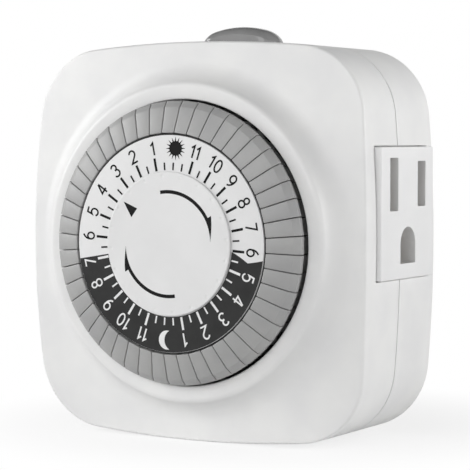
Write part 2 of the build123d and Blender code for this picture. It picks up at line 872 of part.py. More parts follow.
# ================= Dial label, and the pointer disc that stands still in front of it =================
with BuildPart() as dial_label:
    with BuildSketch(front_plane(label_back)):
        add(ring(label_radius, label_bore))
    extrude(amount=label_thickness)
dial_label.part.label = "dial_label"
export_step(dial_label.part, "parts/dial_label.step")

with BuildPart() as pointer_disc:
    with BuildSketch(front_plane(label_face + pointer_lift)):
        Circle(pointer_radius)
    extrude(amount=pointer_proud - pointer_lift)
    with BuildSketch(front_plane(pointer_seat + pointer_lift)):
        Circle(label_bore - free_gap)
    extrude(amount=label_face - pointer_seat)
    # Boss that is pressed over the dial screw's head.
    with BuildSketch(front_plane(arbor_front + end_play)):
        Circle(pointer_boss_radius)
    extrude(amount=pointer_seat + pointer_lift - arbor_front - end_play)
    with BuildSketch(front_plane(arbor_front + end_play)):
        Circle(dial_screw_head_radius + arbor_clearance)
    extrude(amount=dial_screw_head - end_play, mode=Mode.SUBTRACT)
    fillet(pointer_disc.edges().filter_by(GeomType.CIRCLE).sort_by(Axis.Y)[0], radius=pointer_proud / 2)
pointer_disc.part.label = "pointer_disc"
export_step(pointer_disc.part, "parts/pointer_disc.step")

# ================= Trip tabs, two to a node =================
tab_half_angle = (tab_step - tab_gap_angle) / 2
for group in range(tab_count // tabs_in_group):
    with BuildPart() as tab_pair:
        for place in range(tabs_in_group):
            middle = nose_angle + (group * tabs_in_group + place + 0.5) * tab_step
            with BuildSketch(radial_section(middle + tab_half_angle)):
                with BuildLine():
                    Polyline(
                        (tab_inner_radius, block_back),
                        (tab_outer_radius - tab_lip_depth, block_back),
                        (tab_outer_radius - tab_lip_depth, tab_lip_back),
                        (tab_outer_radius, tab_lip_back),
                        (tab_outer_radius, crease + tab_outer_proud),
                        (tab_bevel_radius, crease + tab_bevel_proud),
                        (tab_inner_radius, crease + tab_inner_proud),
                        close=True,
                    )
                make_face()
            revolve(axis=Axis.Y, revolution_arc=2 * tab_half_angle)
            with BuildSketch(front_plane(foot_end)):
                with PolarLocations(foot_radius, 1, start_angle=middle):
                    Rectangle(foot_depth, foot_width)
            extrude(amount=block_back - foot_end)
            with BuildSketch(front_plane(block_back)):
                with PolarLocations(carrier_drum_radius - key_depth + fit_gap * 2, 1, start_angle=middle):
                    Rectangle(key_depth + fit_gap, key_width, align=(Align.MIN, Align.CENTER))
            extrude(amount=key_front - block_back)
    name = f"tab_pair_{group:02d}"
    tab_pair.part.label = name
    export_step(tab_pair.part, f"parts/{name}.step")

# ================= Idler gear and its arbor =================
with BuildPart() as idler_gear:
    with BuildSketch(front_plane(idler_back)):
        with Locations((idler_x, idler_z)):
            add(gear_outline(idler_wheel_teeth, motor_line))
    extrude(amount=idler_wheel_face)
    with BuildSketch(front_plane(idler_wheel_front)):
        with Locations((idler_x, idler_z)):
            Circle(idler_bush_radius)
    extrude(amount=gear_front - idler_wheel_front)
    with BuildSketch(front_plane(gear_front - idler_pinion_face)):
        with Locations((idler_x, idler_z)):
            add(gear_outline(idler_pinion_teeth, idler_bearing + 180 + 180 / idler_pinion_teeth))
    extrude(amount=idler_pinion_face)
    with BuildSketch(front_plane(motor_front)):
        with Locations((idler_x, idler_z)):
            Circle(idler_arbor_radius + arbor_clearance)
    extrude(amount=floor_back - motor_front, mode=Mode.SUBTRACT)
    with BuildSketch(front_plane(idler_back)):
        with Locations((idler_x, idler_z)):
            Circle(idler_head_radius + 2 * fit_gap)
    extrude(amount=idler_wheel_face / 2, mode=Mode.SUBTRACT)
idler_gear.part.label = "idler_gear"
export_step(idler_gear.part, "parts/idler_gear.step")

with BuildPart() as idler_arbor:
    with BuildSketch(front_plane(idler_back)):
        with Locations((idler_x, idler_z)):
            Circle(idler_arbor_radius)
    extrude(amount=floor_back + floor_thickness / 2 - fit_gap - idler_back)
    with BuildSketch(front_plane(idler_back)):
        with Locations((idler_x, idler_z)):
            Circle(idler_head_radius)
    extrude(amount=idler_wheel_face / 2 - fit_gap)
idler_arbor.part.label = "idler_arbor"
export_step(idler_arbor.part, "parts/idler_arbor.step")

# ================= Motor =================
cover_back = motor_front - motor_skin
can_back = motor_front - motor_depth
lead_window_x = motor_x + lead_window_offset
with BuildPart() as motor_can:
    with BuildSketch(front_plane(can_back)):
        with Locations((motor_x, motor_z)):
            Circle(motor_radius)
    extrude(amount=cover_back - can_back)
    with BuildSketch(front_plane(can_back + motor_skin)):
        with Locations((motor_x, motor_z)):
            add(ring(motor_radius - motor_skin, 2 * rotor_shaft_radius + motor_skin))
    extrude(amount=cover_back - can_back - motor_skin, mode=Mode.SUBTRACT)
    with BuildSketch(front_plane(can_back + can_floor)):
        with Locations((motor_x, motor_z)):
            Circle(motor_radius - motor_skin)
    extrude(amount=cover_back - can_back, mode=Mode.SUBTRACT)
    with BuildSketch(front_plane(can_back + motor_skin)):
        with Locations((motor_x, motor_z)):
            Circle(rotor_shaft_radius + motor_bearing_clearance)
    extrude(amount=cover_back - can_back, mode=Mode.SUBTRACT)
    with BuildSketch(Plane.XY.offset(motor_z + coil_outer_radius / 2)):
        with Locations((lead_window_x, -lead_window_forward)):
            Rectangle(*lead_window_size)
    extrude(amount=motor_radius, mode=Mode.SUBTRACT)
motor_can.part.label = "motor_can"
export_step(motor_can.part, "parts/motor_can.step")

with BuildPart() as motor_cover:
    with BuildSketch(front_plane(cover_back)):
        with Locations((motor_x, motor_z)):
            Circle(motor_radius)
        with Locations((motor_x, motor_z)):
            Rectangle(2 * ear_reach, 2 * ear_radius, rotation=ear_angle)
        with Locations(*ear_places):
            Circle(ear_radius)
            Circle(small_screw_radius + fit_gap, mode=Mode.SUBTRACT)
    extrude(amount=motor_skin)
    with BuildSketch(front_plane(motor_front - motor_hub_depth)):
        with Locations((motor_x, motor_z)):
            Circle(motor_hub_radius)
    extrude(amount=motor_hub_depth)
    with BuildSketch(front_plane(motor_front)):
        with Locations((motor_x, motor_z)):
            Circle(output_shaft_radius + motor_bearing_clearance)
    extrude(amount=-motor_hub_depth / 2, mode=Mode.SUBTRACT)
    with BuildSketch(front_plane(motor_front - motor_hub_depth)):
        with Locations((motor_x, motor_z)):
            Circle(rotor_shaft_radius + motor_bearing_clearance)
    extrude(amount=motor_hub_depth / 3, mode=Mode.SUBTRACT)
motor_cover.part.label = "motor_cover"
export_step(motor_cover.part, "parts/motor_cover.step")

with BuildPart() as motor_coil:
    with BuildSketch(front_plane(cover_back - coil_length)):
        with Locations((motor_x, motor_z)):
            add(ring(motor_radius - motor_skin - fit_gap, coil_inner_radius))
    extrude(amount=coil_length)
motor_coil.part.label = "motor_coil"
export_step(motor_coil.part, "parts/motor_coil.step")

with BuildPart() as motor_rotor:
    rotor_back = can_back + can_floor + free_gap
    with BuildSketch(front_plane(rotor_back)):
        with Locations((motor_x, motor_z)):
            Circle(rotor_radius)
    extrude(amount=rotor_length)
    with BuildSketch(front_plane(can_back + motor_skin + fit_gap)):
        with Locations((motor_x, motor_z)):
            Circle(rotor_shaft_radius)
    extrude(amount=motor_front - 2 * motor_hub_depth / 3 - fit_gap - can_back - motor_skin - fit_gap)
motor_rotor.part.label = "motor_rotor"
export_step(motor_rotor.part, "parts/motor_rotor.step")

with BuildPart() as motor_pinion:
    with BuildSketch(front_plane(motor_front + free_gap)):
        with Locations((motor_x, motor_z)):
            add(gear_outline(motor_pinion_teeth, motor_line + 180 + 180 / motor_pinion_teeth))
    extrude(amount=idler_wheel_face + fit_gap)
    with BuildSketch(front_plane(motor_front - motor_hub_depth / 2 + fit_gap)):
        with Locations((motor_x, motor_z)):
            Circle(output_shaft_radius)
    extrude(amount=motor_hub_depth / 2 + free_gap)
motor_pinion.part.label = "motor_pinion"
export_step(motor_pinion.part, "parts/motor_pinion.step")

# ================= Motor leads =================
lead_start_z = motor_z + coil_outer_radius + lead_gap
motor_top_z = motor_z + motor_radius
strap_lead = foot_front - blade_foot + lead_radius + arbor_clearance
neutral_lead_x = motor_x + neutral_lead_offset
line_lead_x = motor_x + line_lead_offset
line_strap_x = bus_outer_x - bus_width / 2
with BuildPart() as motor_leads:
    with BuildLine():
        to_neutral = FilletPolyline(
            at(neutral_lead_x, lead_start_z, lead_window_forward),
            at(neutral_lead_x, motor_top_z + neutral_lead_rise, lead_window_forward),
            at(neutral_lead_x, bus_bottom + neutral_lead_landing, strap_lead),
            at(neutral_lead_x, neutral_shelf_z - neutral_lead_drop, strap_lead),
            at(neutral_lead_reach - bus_outer_x, neutral_shelf_z - neutral_lead_drop, strap_lead),
            radius=neutral_lead_bend,
        )
    with BuildSketch(Plane(origin=to_neutral @ 0, z_dir=to_neutral % 0)):
        Circle(lead_radius)
    sweep(path=to_neutral)
    with BuildLine():
        line_lead_z = blade_rise + line_lead_landing
        to_line = FilletPolyline(
            at(line_lead_x, lead_start_z - line_lead_stub, lead_window_forward),
            at(line_lead_x, motor_top_z + line_lead_rise, foot_front + line_lead_high),
            at(line_strap_x, motor_top_z + line_lead_rise, foot_front + line_lead_low),
            at(line_strap_x, line_lead_z, foot_front + line_lead_low),
            at(line_strap_x, line_lead_z + line_lead_step, strap_lead),
            at(line_strap_x, line_lead_z + line_lead_step + line_lead_tail, strap_lead),
            radius=line_lead_bend,
        )
    with BuildSketch(Plane(origin=to_line @ 0, z_dir=to_line % 0)):
        Circle(lead_radius)
    sweep(path=to_line)
motor_leads.part.label = "motor_leads"
export_step(motor_leads.part, "parts/motor_leads.step")

# ================= Plug blades and ground pin =================
with BuildPart() as neutral_blade:
    with BuildSketch(front_plane(-blade_length)):
        with Locations((-slot_half_spacing, blade_rise)):
            Rectangle(blade_thickness, neutral_blade_width)
    extrude(amount=blade_length + foot_front)
    with BuildSketch(front_plane(foot_front - blade_foot)):
        with Locations((-bus_outer_x, blade_rise)):
            Rectangle(
                bus_outer_x - slot_half_spacing, neutral_blade_width, align=(Align.MIN, Align.CENTER)
            )
    extrude(amount=blade_foot)
    chamfer(
        neutral_blade.edges().filter_by(Axis.X).sort_by(Axis.Y)[-2:],
        length=blade_tip_chamfer,
    )
    with BuildSketch(Plane.YZ.offset(-slot_half_spacing - blade_thickness)):
        with Locations((blade_hole_reach, blade_rise)):
            Circle(blade_hole_radius)
    extrude(amount=2 * blade_thickness, mode=Mode.SUBTRACT)
neutral_blade.part.label = "neutral_blade"
export_step(neutral_blade.part, "parts/neutral_blade.step")

with BuildPart() as line_blade:
    with BuildSketch(front_plane(-blade_length)):
        with Locations((slot_half_spacing, blade_rise)):
            Rectangle(blade_thickness, line_blade_width)
    extrude(amount=blade_length + foot_front)
    with BuildSketch(front_plane(foot_front - blade_foot)):
        with Locations((bus_outer_x, blade_rise)):
            Rectangle(bus_outer_x - slot_half_spacing, line_blade_width, align=(Align.MAX, Align.CENTER))
    extrude(amount=blade_foot)
    chamfer(
        line_blade.edges().filter_by(Axis.X).sort_by(Axis.Y)[-2:],
        length=blade_tip_chamfer,
    )
    with BuildSketch(Plane.YZ.offset(slot_half_spacing - blade_thickness)):
        with Locations((blade_hole_reach, blade_rise)):
            Circle(blade_hole_radius)
    extrude(amount=2 * blade_thickness, mode=Mode.SUBTRACT)
line_blade.part.label = "line_blade"
export_step(line_blade.part, "parts/line_blade.step")

collar_front = back_wall + pin_collar
with BuildPart() as ground_pin:
    with BuildSketch(front_plane(-ground_pin_length)):
        Circle(ground_pin_radius)
    extrude(amount=ground_pin_length)
    fillet(ground_pin.faces().sort_by(Axis.Y)[-1].edges(), radius=pin_tip_radius)
    with BuildSketch(front_plane(0)):
        Circle(pin_root_radius)
    extrude(amount=collar_front)
    with BuildSketch(front_plane(back_wall)):
        Circle(pin_collar_radius)
    extrude(amount=pin_collar)
    with BuildSketch(front_plane(collar_front)):
        Circle(pin_tail_radius)
    extrude(amount=strap + fit_gap)
    with BuildSketch(front_plane(collar_front + strap + fit_gap)):
        Circle(pin_tail_radius + pin_peen)
    extrude(amount=pin_peen)
ground_pin.part.label = "ground_pin"
export_step(ground_pin.part, "parts/ground_pin.step")

# ================= Neutral bus, from the neutral blade to the outlet =================
neutral_riser_half = contact_opening / 2 + contact_leaf_thickness
with BuildPart() as neutral_bus:
    with BuildSketch(front_plane(strap_back)):
        with Locations((-bus_outer_x, bus_bottom)):
            Rectangle(bus_width, neutral_shelf_z - bus_bottom, align=(Align.MIN, Align.MIN))
    extrude(amount=strap)
    with BuildSketch(Plane.XY.offset(neutral_shelf_z)):
        with Locations((-bus_outer_x, -strap_back)):
            Rectangle(bus_width, shelf_strap_front - strap_back, align=(Align.MIN, Align.MAX))
        with Locations((-bus_outer_x, -shelf_strap_front)):
            Rectangle(
                bus_outer_x + contact_back_x + contact_leaf_thickness,
                shelf_strap_width,
                align=(Align.MIN, Align.MIN),
            )
        with Locations((contact_back_x + contact_leaf_thickness, shelf_strap_width - shelf_strap_front)):
            Rectangle(
                bus_width,
                neutral_forward + neutral_riser_half - shelf_strap_front + shelf_strap_width,
                align=(Align.MAX, Align.MAX),
            )
    extrude(amount=strap)
    with BuildSketch(Plane.YZ.offset(contact_back_x)):
        with Locations((-neutral_forward, blade_rise - contact_height / 2)):
            Rectangle(
                2 * neutral_riser_half,
                neutral_shelf_z + strap - blade_rise + contact_height / 2,
                align=(Align.CENTER, Align.MIN),
            )
    extrude(amount=contact_leaf_thickness)
    with BuildSketch(Plane.XY.offset(blade_rise - contact_height / 2)):
        with Locations((0, -neutral_forward)):
            add(spring_pair(contact_opening, contact_flare, contact_back_x))
    extrude(amount=contact_height)
neutral_bus.part.label = "neutral_bus"
export_step(neutral_bus.part, "parts/neutral_bus.step")

# ================= Line bus, from the line blade to the fixed contact =================
with BuildPart() as line_bus:
    with BuildSketch(front_plane(strap_back)):
        with Locations((bus_outer_x, bus_bottom)):
            Rectangle(bus_width, leaf_top - bus_bottom, align=(Align.MAX, Align.MIN))
        with Locations((bus_outer_x, leaf_bottom)):
            Rectangle(bus_outer_x - bus_left_x, leaf_top - leaf_bottom, align=(Align.MAX, Align.MIN))
        with Locations((contact_x, leaf_middle_z)):
            Circle(rivet_shank_radius + arbor_clearance, mode=Mode.SUBTRACT)
    extrude(amount=strap)
line_bus.part.label = "line_bus"
export_step(line_bus.part, "parts/line_bus.step")

with BuildPart() as fixed_contact:
    fixed_face = leaf_back - rivet_head - contact_gap
    with BuildSketch(front_plane(strap_back + strap)):
        with Locations((contact_x, leaf_middle_z)):
            Circle(rivet_radius)
    extrude(amount=fixed_face - strap_back - strap)
    with BuildSketch(front_plane(strap_back)):
        with Locations((contact_x, leaf_middle_z)):
            Circle(rivet_shank_radius)
    extrude(amount=strap)
    with BuildSketch(front_plane(strap_back - rivet_tail)):
        with Locations((contact_x, leaf_middle_z)):
            Circle(rivet_radius - 2 * rivet_edge / 3)
    extrude(amount=rivet_tail)
fixed_contact.part.label = "fixed_contact"
export_step(fixed_contact.part, "parts/fixed_contact.step")

# ================= Moving leaf and its contact =================
with BuildPart() as contact_leaf:
    with BuildSketch(front_plane(leaf_back)):
        with Locations((leaf_tip_x, leaf_middle_z)):
            Rectangle(leaf_root_x - leaf_tip_x, 2 * leaf_half_height, align=(Align.MIN, Align.CENTER))
        with Locations((contact_x, leaf_middle_z)):
            Circle(rivet_shank_radius + arbor_clearance, mode=Mode.SUBTRACT)
    extrude(amount=leaf_thickness)
contact_leaf.part.label = "contact_leaf"
export_step(contact_leaf.part, "parts/contact_leaf.step")

with BuildPart() as moving_contact:
    with BuildSketch(front_plane(leaf_back - rivet_head)):
        with Locations((contact_x, leaf_middle_z)):
            Circle(rivet_radius)
    extrude(amount=rivet_head)
    fillet(moving_contact.faces().sort_by(Axis.Y)[-1].edges(), radius=rivet_edge)
    with BuildSketch(front_plane(leaf_back)):
        with Locations((contact_x, leaf_middle_z)):
            Circle(rivet_shank_radius)
    extrude(amount=leaf_thickness)
    with BuildSketch(front_plane(leaf_front)):
        with Locations((contact_x, leaf_middle_z)):
            Circle(rivet_radius - 2 * rivet_edge / 3)
    extrude(amount=rivet_tail)
moving_contact.part.label = "moving_contact"
export_step(moving_contact.part, "parts/moving_contact.step")

# ================= Line contact of the outlet, which also carries the leaf =================
with BuildPart() as line_contact:
    with BuildSketch(Plane.YZ.offset(contact_back_x)):
        with Locations((-line_forward, blade_rise - contact_height / 2)):
            Rectangle(
                2 * neutral_riser_half,
                leaf_top + leaf_margin - blade_rise + contact_height / 2,
                align=(Align.CENTER, Align.MIN),
            )
    extrude(amount=contact_leaf_thickness)
    with BuildSketch(front_plane(leaf_front + arbor_clearance)):
        with Locations((contact_back_x + contact_leaf_thickness, leaf_middle_z)):
            Rectangle(leaf_seat, 2 * (leaf_half_height + leaf_margin), align=(Align.MAX, Align.CENTER))
    extrude(amount=strap)
    with BuildSketch(Plane.XY.offset(blade_rise - contact_height / 2)):
        with Locations((0, -line_forward)):
            add(spring_pair(contact_opening, contact_flare, contact_back_x))
    extrude(amount=contact_height)
line_contact.part.label = "line_contact"
export_step(line_contact.part, "parts/line_contact.step")

# ================= Ground bus, from the pin to the outlet =================
with BuildPart() as ground_bus:
    with BuildSketch(front_plane(collar_front)):
        with Locations((-pin_collar_radius, 0)):
            Rectangle(
                pin_collar_radius + ground_back_x + contact_leaf_thickness,
                ground_contact_height,
                align=(Align.MIN, Align.CENTER),
            )
        Circle(pin_tail_radius + arbor_clearance, mode=Mode.SUBTRACT)
    extrude(amount=strap)
    with BuildSketch(Plane.YZ.offset(ground_back_x)):
        with Locations((-collar_front, 0)):
            Rectangle(
                outlet_forward + ground_opening / 2 + contact_leaf_thickness - collar_front,
                ground_contact_height,
                align=(Align.MAX, Align.CENTER),
            )
    extrude(amount=contact_leaf_thickness)
    with BuildSketch(Plane.XY.offset(-ground_contact_height / 2)):
        with Locations((0, -outlet_forward)):
            add(spring_pair(ground_opening, ground_flare, ground_back_x))
    extrude(amount=ground_contact_height)
ground_bus.part.label = "ground_bus"
export_step(ground_bus.part, "parts/ground_bus.step")

# ================= Outlet: face and the block that holds the contacts =================
with BuildPart() as outlet_carrier:
    with BuildSketch(Plane.YZ.offset(carrier_inner_x)):
        with Locations((-outlet_block_back, outlet_block_bottom)):
            Rectangle(
                outlet_block_front - outlet_block_back,
                outlet_block_top - outlet_block_bottom,
                align=(Align.MAX, Align.MIN),
            )
        for forward in (neutral_forward, line_forward):
            with Locations((-forward, blade_rise)):
                Rectangle(
                    2 * (neutral_riser_half + pocket_gap),
                    contact_height + 4 * pocket_gap,
                    mode=Mode.SUBTRACT,
                )
        with Locations((-outlet_forward, 0)):
            Rectangle(
                ground_opening + 2 * (contact_leaf_thickness + pocket_gap),
                ground_contact_height + 4 * pocket_gap,
                mode=Mode.SUBTRACT,
            )
    extrude(amount=outlet_flange_x - carrier_inner_x)
outlet_carrier.part.label = "outlet_carrier"
export_step(outlet_carrier.part, "parts/outlet_carrier.step")

with BuildPart() as outlet_face:
    with BuildSketch(Plane.YZ.offset(outlet_flange_x)):
        with Locations((-outlet_forward, outlet_plate_z)):
            Rectangle(
                outlet_plate_depth + 2 * outlet_flange_lip, outlet_plate_height + 2 * outlet_flange_lip
            )
    extrude(amount=outlet_flange)
    with BuildSketch(Plane.YZ.offset(outlet_flange_x)):
        with Locations((-outlet_forward, outlet_plate_z)):
            Rectangle(outlet_plate_depth, outlet_plate_height)
    extrude(amount=outlet_face_x - outlet_flange_x)
    chamfer(outlet_face.faces().sort_by(Axis.X)[-1].edges(), length=outlet_edge)
    with BuildSketch(Plane.YZ.offset(outlet_flange_x)):
        with Locations((-neutral_forward, blade_rise)):
            Rectangle(slot_width, neutral_slot_height)
        with Locations((-line_forward, blade_rise)):
            Rectangle(slot_width, line_slot_height)
        with Locations((-outlet_forward, 0)):
            Circle(ground_hole_rise)
            Rectangle(ground_hole_width, ground_hole_drop, align=(Align.CENTER, Align.MAX))
    extrude(amount=outlet_face_x - outlet_flange_x, mode=Mode.SUBTRACT)
outlet_face.part.label = "outlet_face"
export_step(outlet_face.part, "parts/outlet_face.step")

# ================= Follower that turns the tabs' feet into a push on the leaf =================
with BuildPart() as follower_plunger:
    with BuildSketch(Plane.YZ.offset(-follower_half_width)):
        with BuildLine():
            Polyline(
                (-follower_tail, follower_bottom),
                (-follower_tail, follower_top),
                (-follower_shoulder, follower_top),
                (-follower_shoulder, follower_bottom),
                close=True,
            )
        make_face()
    extrude(amount=2 * follower_half_width)
    with BuildSketch(Plane.YZ.offset(-stem_half_width - free_gap)):
        with BuildLine():
            slot_front = stem_front + switch_travel + free_gap
            Polyline(
                (follower_bottom - wedge_sum + wedge_gap, follower_bottom),
                (follower_top - wedge_sum + wedge_gap, follower_top),
                (-slot_front, follower_top),
                (-slot_front, follower_bottom),
                close=True,
            )
        make_face()
    extrude(amount=2 * (stem_half_width + free_gap), mode=Mode.SUBTRACT)
    with BuildSketch(front_plane(follower_shoulder)):
        with Locations((0, leaf_middle_z)):
            Rectangle(
                2 * (follower_half_width - free_gap),
                follower_top - follower_bottom - 2 * free_gap - 4 * fit_gap,
            )
    extrude(amount=follower_waist_front - follower_shoulder)
    with BuildSketch(front_plane(follower_waist_front)):
        with Locations((nose_x, nose_z)):
            Rectangle(neck_width, neck_height)
    extrude(amount=neck_front - follower_waist_front)
    with BuildSketch(front_plane(neck_front)):
        with Locations((nose_x, nose_z)):
            Rectangle(nose_width, nose_height)
    extrude(amount=flange_back - nose_gap - neck_front)
    with BuildSketch(front_plane(follower_tail)):
        with Locations((0, leaf_middle_z)):
            Rectangle(pusher_width, pusher_height)
    extrude(amount=-pusher_reach)
follower_plunger.part.label = "follower_plunger"
export_step(follower_plunger.part, "parts/follower_plunger.step")

# ================= Override button =================
with BuildPart() as override_button:
    with BuildSketch(Plane.XY.offset(flange_bottom)):
        with Locations((0, -button_forward)):
            add(stadium(button_length, button_width))
    extrude(amount=button_top - flange_bottom)
    with BuildSketch(front_plane(button_forward - button_width)):
        with BuildLine():
            crown_drop = button_length**2 / (8 * button_crown_radius)
            crown = ThreePointArc(
                (-button_length / 2, button_top - crown_drop),
                (0, button_top),
                (button_length / 2, button_top - crown_drop),
            )
            Polyline(
                crown @ 1,
                (button_length / 2, flange_bottom),
                (-button_length / 2, flange_bottom),
                crown @ 0,
            )
        make_face()
    extrude(amount=2 * button_width, mode=Mode.INTERSECT)
    fillet(override_button.faces().sort_by(Axis.Z)[-1].edges(), radius=button_edge_radius)
    with BuildSketch(Plane.XY.offset(flange_bottom)):
        with Locations((0, -button_forward)):
            add(stadium(button_length + 2 * button_flange_lip, button_width + 2 * button_flange_lip))
    extrude(amount=button_flange)
    # Stem with the wedge that drives the follower.
    with BuildSketch(Plane.YZ.offset(-stem_half_width)):
        with BuildLine():
            Polyline(
                (-stem_rear, flange_bottom),
                (-stem_rear, wedge_sum - stem_rear),
                (-stem_front + wedge_land, wedge_bottom),
                (-stem_front, wedge_bottom),
                (-stem_front, flange_bottom),
                close=True,
            )
        make_face()
    extrude(amount=2 * stem_half_width)
    # Leg with the groove that the latch wire runs in.
    with BuildSketch(Plane.XY.offset(latch_bottom)):
        with Locations((latch_x, -stem_forward)):
            Rectangle(latch_width, latch_depth, align=(Align.MIN, Align.CENTER))
    extrude(amount=flange_bottom - latch_bottom)
    with BuildSketch(Plane.XY.offset(latch_groove_top)):
        with Locations((latch_x + latch_width, -stem_forward)):
            Rectangle(latch_groove, latch_depth / 2, align=(Align.MAX, Align.CENTER))
    extrude(amount=-latch_groove_length, mode=Mode.SUBTRACT)
override_button.part.label = "override_button"
export_step(override_button.part, "parts/override_button.step")

with BuildPart() as override_spring:
    spring_low = shelf_top + spring_wire + arbor_clearance
    spring_high = flange_bottom - spring_wire - arbor_clearance
    with BuildLine():
        coil = Helix(
            pitch=spring_pitch,
            height=spring_high - spring_low,
            radius=spring_radius,
            center=(0, -stem_forward, spring_low),
        )
    with BuildSketch(Plane(origin=coil @ 0, z_dir=coil % 0)):
        Circle(spring_wire)
    sweep(path=coil, is_frenet=True)
override_spring.part.label = "override_spring"
export_step(override_spring.part, "parts/override_spring.step")

latch_wire_x = latch_x + latch_width + latch_wire_offset
with BuildPart() as latch_wire:
    with BuildLine():
        wire = FilletPolyline(
            at(latch_wire_x, shelf_top - shelf_thickness / 2, stem_forward),
            at(latch_wire_x, latch_tip_z, stem_forward),
            at(latch_x + latch_width - latch_groove + latch_tip_gap, latch_tip_z, stem_forward),
            radius=latch_wire_bend,
        )
    with BuildSketch(Plane(origin=wire @ 0, z_dir=wire % 0)):
        Circle(latch_wire_radius)
    sweep(path=wire)
latch_wire.part.label = "latch_wire"
export_step(latch_wire.part, "parts/latch_wire.step")
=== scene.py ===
import json
import math

import bmesh
import bpy
import numpy as np
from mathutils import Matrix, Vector


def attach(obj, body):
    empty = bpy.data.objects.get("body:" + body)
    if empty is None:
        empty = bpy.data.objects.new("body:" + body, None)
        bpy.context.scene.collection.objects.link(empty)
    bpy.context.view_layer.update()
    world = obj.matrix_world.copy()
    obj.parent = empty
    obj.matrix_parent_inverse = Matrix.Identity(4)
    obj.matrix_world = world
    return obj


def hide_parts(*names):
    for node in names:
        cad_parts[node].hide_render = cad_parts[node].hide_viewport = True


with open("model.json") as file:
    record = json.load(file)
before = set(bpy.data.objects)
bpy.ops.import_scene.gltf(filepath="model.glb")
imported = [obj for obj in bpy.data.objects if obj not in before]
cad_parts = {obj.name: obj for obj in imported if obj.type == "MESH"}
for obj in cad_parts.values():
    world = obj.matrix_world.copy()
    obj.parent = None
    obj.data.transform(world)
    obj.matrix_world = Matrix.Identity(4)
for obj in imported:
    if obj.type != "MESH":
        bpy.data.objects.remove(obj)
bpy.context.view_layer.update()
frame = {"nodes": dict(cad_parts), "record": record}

# A plug-in timer switch. Shape values are millimetres and degrees. "Forward" is the distance in front of
# the back face, so it is minus Y, and an angle of the dial goes from +X towards +Z.

# ---- Housing ----
half_width, half_height = 39.3, 40.5
side_bow, corner_radius = 2.4, 15.0
seam, crease, dome_radius = 17.1, 32.2, 295.0
wall, back_wall = 2.0, 2.2
back_edge, crease_edge, seam_edge, seam_half_gap = 1.6, 0.6, 0.22, 0.13
lip_rise, lip_inset = 1.5, 1.1
rim_inner, rim_outer, rim_top, rim_round = 28.8, 31.2, 36.5, 0.3
shoulder, rim_back = (32.4, 35.75), (31.1, 33.2)
cove_radius, cove_slope = 37.0, 0.1
well_outer, well_front, well_round = 30.4, 33.9, 0.4
floor_front, floor_back, floor_hole, floor_round = 26.4, 24.9, 7.9, 0.1
nose_hole = (3.6, 3.7)

# ---- Back: screw wells, plug's holes, bare rating recess ----
post_x, post_z, post_start = 29.5, 30.5, 1.0
well_radius, well_play, post_radius, post_hole, screw_seat, seat_round = 2.85, 0.01, 4.3, 1.6, 7.0, 0.2
line_hole, neutral_hole, blade_hole_round, pin_hole_radius = (1.7, 6.55), (1.7, 8.14), 0.2, 2.7
recess_z, recess_size, recess_round, recess_depth = -22.0, (34.0, 18.0), 2.0, 0.3

# ---- Trip tabs ----
tab_pairs, nose_angle, tab_step, tab_gap = 24, 86.8, 7.5, 0.35
tab_inner, tab_bevel, tab_outer = 22.1, 27.3, 28.5
tab_back, tab_edge_face, tab_bevel_face, tab_inner_face, tab_round = 33.8, 38.5, 39.5, 41.3, 0.16
tab_under, tab_lip_back = 27.6, 37.3
foot_radius, foot_half_length, foot_width, foot_end, foot_root = 26.5, 1.0, 1.6, 29.5, 34.3
key_inner, key_outer, key_width, key_start, key_end = 21.05, 22.3, 1.2, 34.0, 40.0

# ---- Label and pointer disc ----
label_back, label_face, label_outer, label_bore, label_edge = 40.75, 41.15, 21.65, 13.2, 0.06
disc_radius, disc_face, disc_under, disc_back = 14.4, 41.68, 41.25, 40.05
disc_edge, disc_under_edge, disc_centre = 0.28, 0.05, 0.5
disc_plug, boss_outer, boss_inner, boss_back, screw_top = 12.9, 4.1, 3.45, 38.45, 39.75
dimple_ring, dimple_step, dimple_start, dimple_size, dimple_depth = 13.5, 18.0, 77.2, 0.28, 0.1

# ---- Print: ink in one thickness, or in two ----
ink = 0.02
print_turn = -3.8
digit_height, digit_radius, digit_stroke = 2.55, 19.2, 0.34
digit_pitch, narrow_pitch = 0.66, 0.5
tick_start, tick_end, short_tick_end, tick_width, short_tick_width = 14.7, 17.3, 16.2, 0.5, 0.33
night_inner, night_outer, night_start = 14.5, 21.6, 189.2
notch_radii, notch_angles = (14.7, 18.3, 21.6), (355.15, 349.65, 352.65)
sun_from_axis, sun_angle, sun_radius, ray_reach, sun_rays, ray_half_angle = 19.05, 85.2, 1.45, 2.3, 16, 6.0
moon_from_axis, moon_angle, horn_half, moon_bulge, moon_hollow = 19.15, -89.9, 1.85, 2.41, 1.1
arrow_starts, arrow_inner, arrow_outer = (99.4, 279.4), 10.05, 10.75
barb_start, arrow_tip, barb_reach, tip_inner, tip_outer, barb_power = 69.4, 95.5, 11.6, 9.9, 9.92, 1.35
pointer_corners = ((13.3, 141.3), (10.0, 148.6), (10.0, 135.7))

# ---- Outlet. Its slots and the plug's blades stand on one standard pattern ----
slot_half_spacing, slot_z = 6.35, 11.9
outlet_forward, outlet_z, outlet_face_x, outlet_depth, outlet_height = 15.7, 6.2, 40.3, 24.0, 26.3
plate_root, plate_roll, plate_round, window_gap, window_round = 36.0, 0.3, 0.5, 0.2, 0.3
flange_margin, flange_levels = 1.2, (35.0, 36.4)
slot_width, neutral_slot_height, line_slot_height, slot_round = 3.7, 10.5, 9.1, 0.25
slot_skin, pocket_margin = 1.7, 0.7
ground_half_width, ground_arch, ground_foot = 3.45, 3.4, -3.9

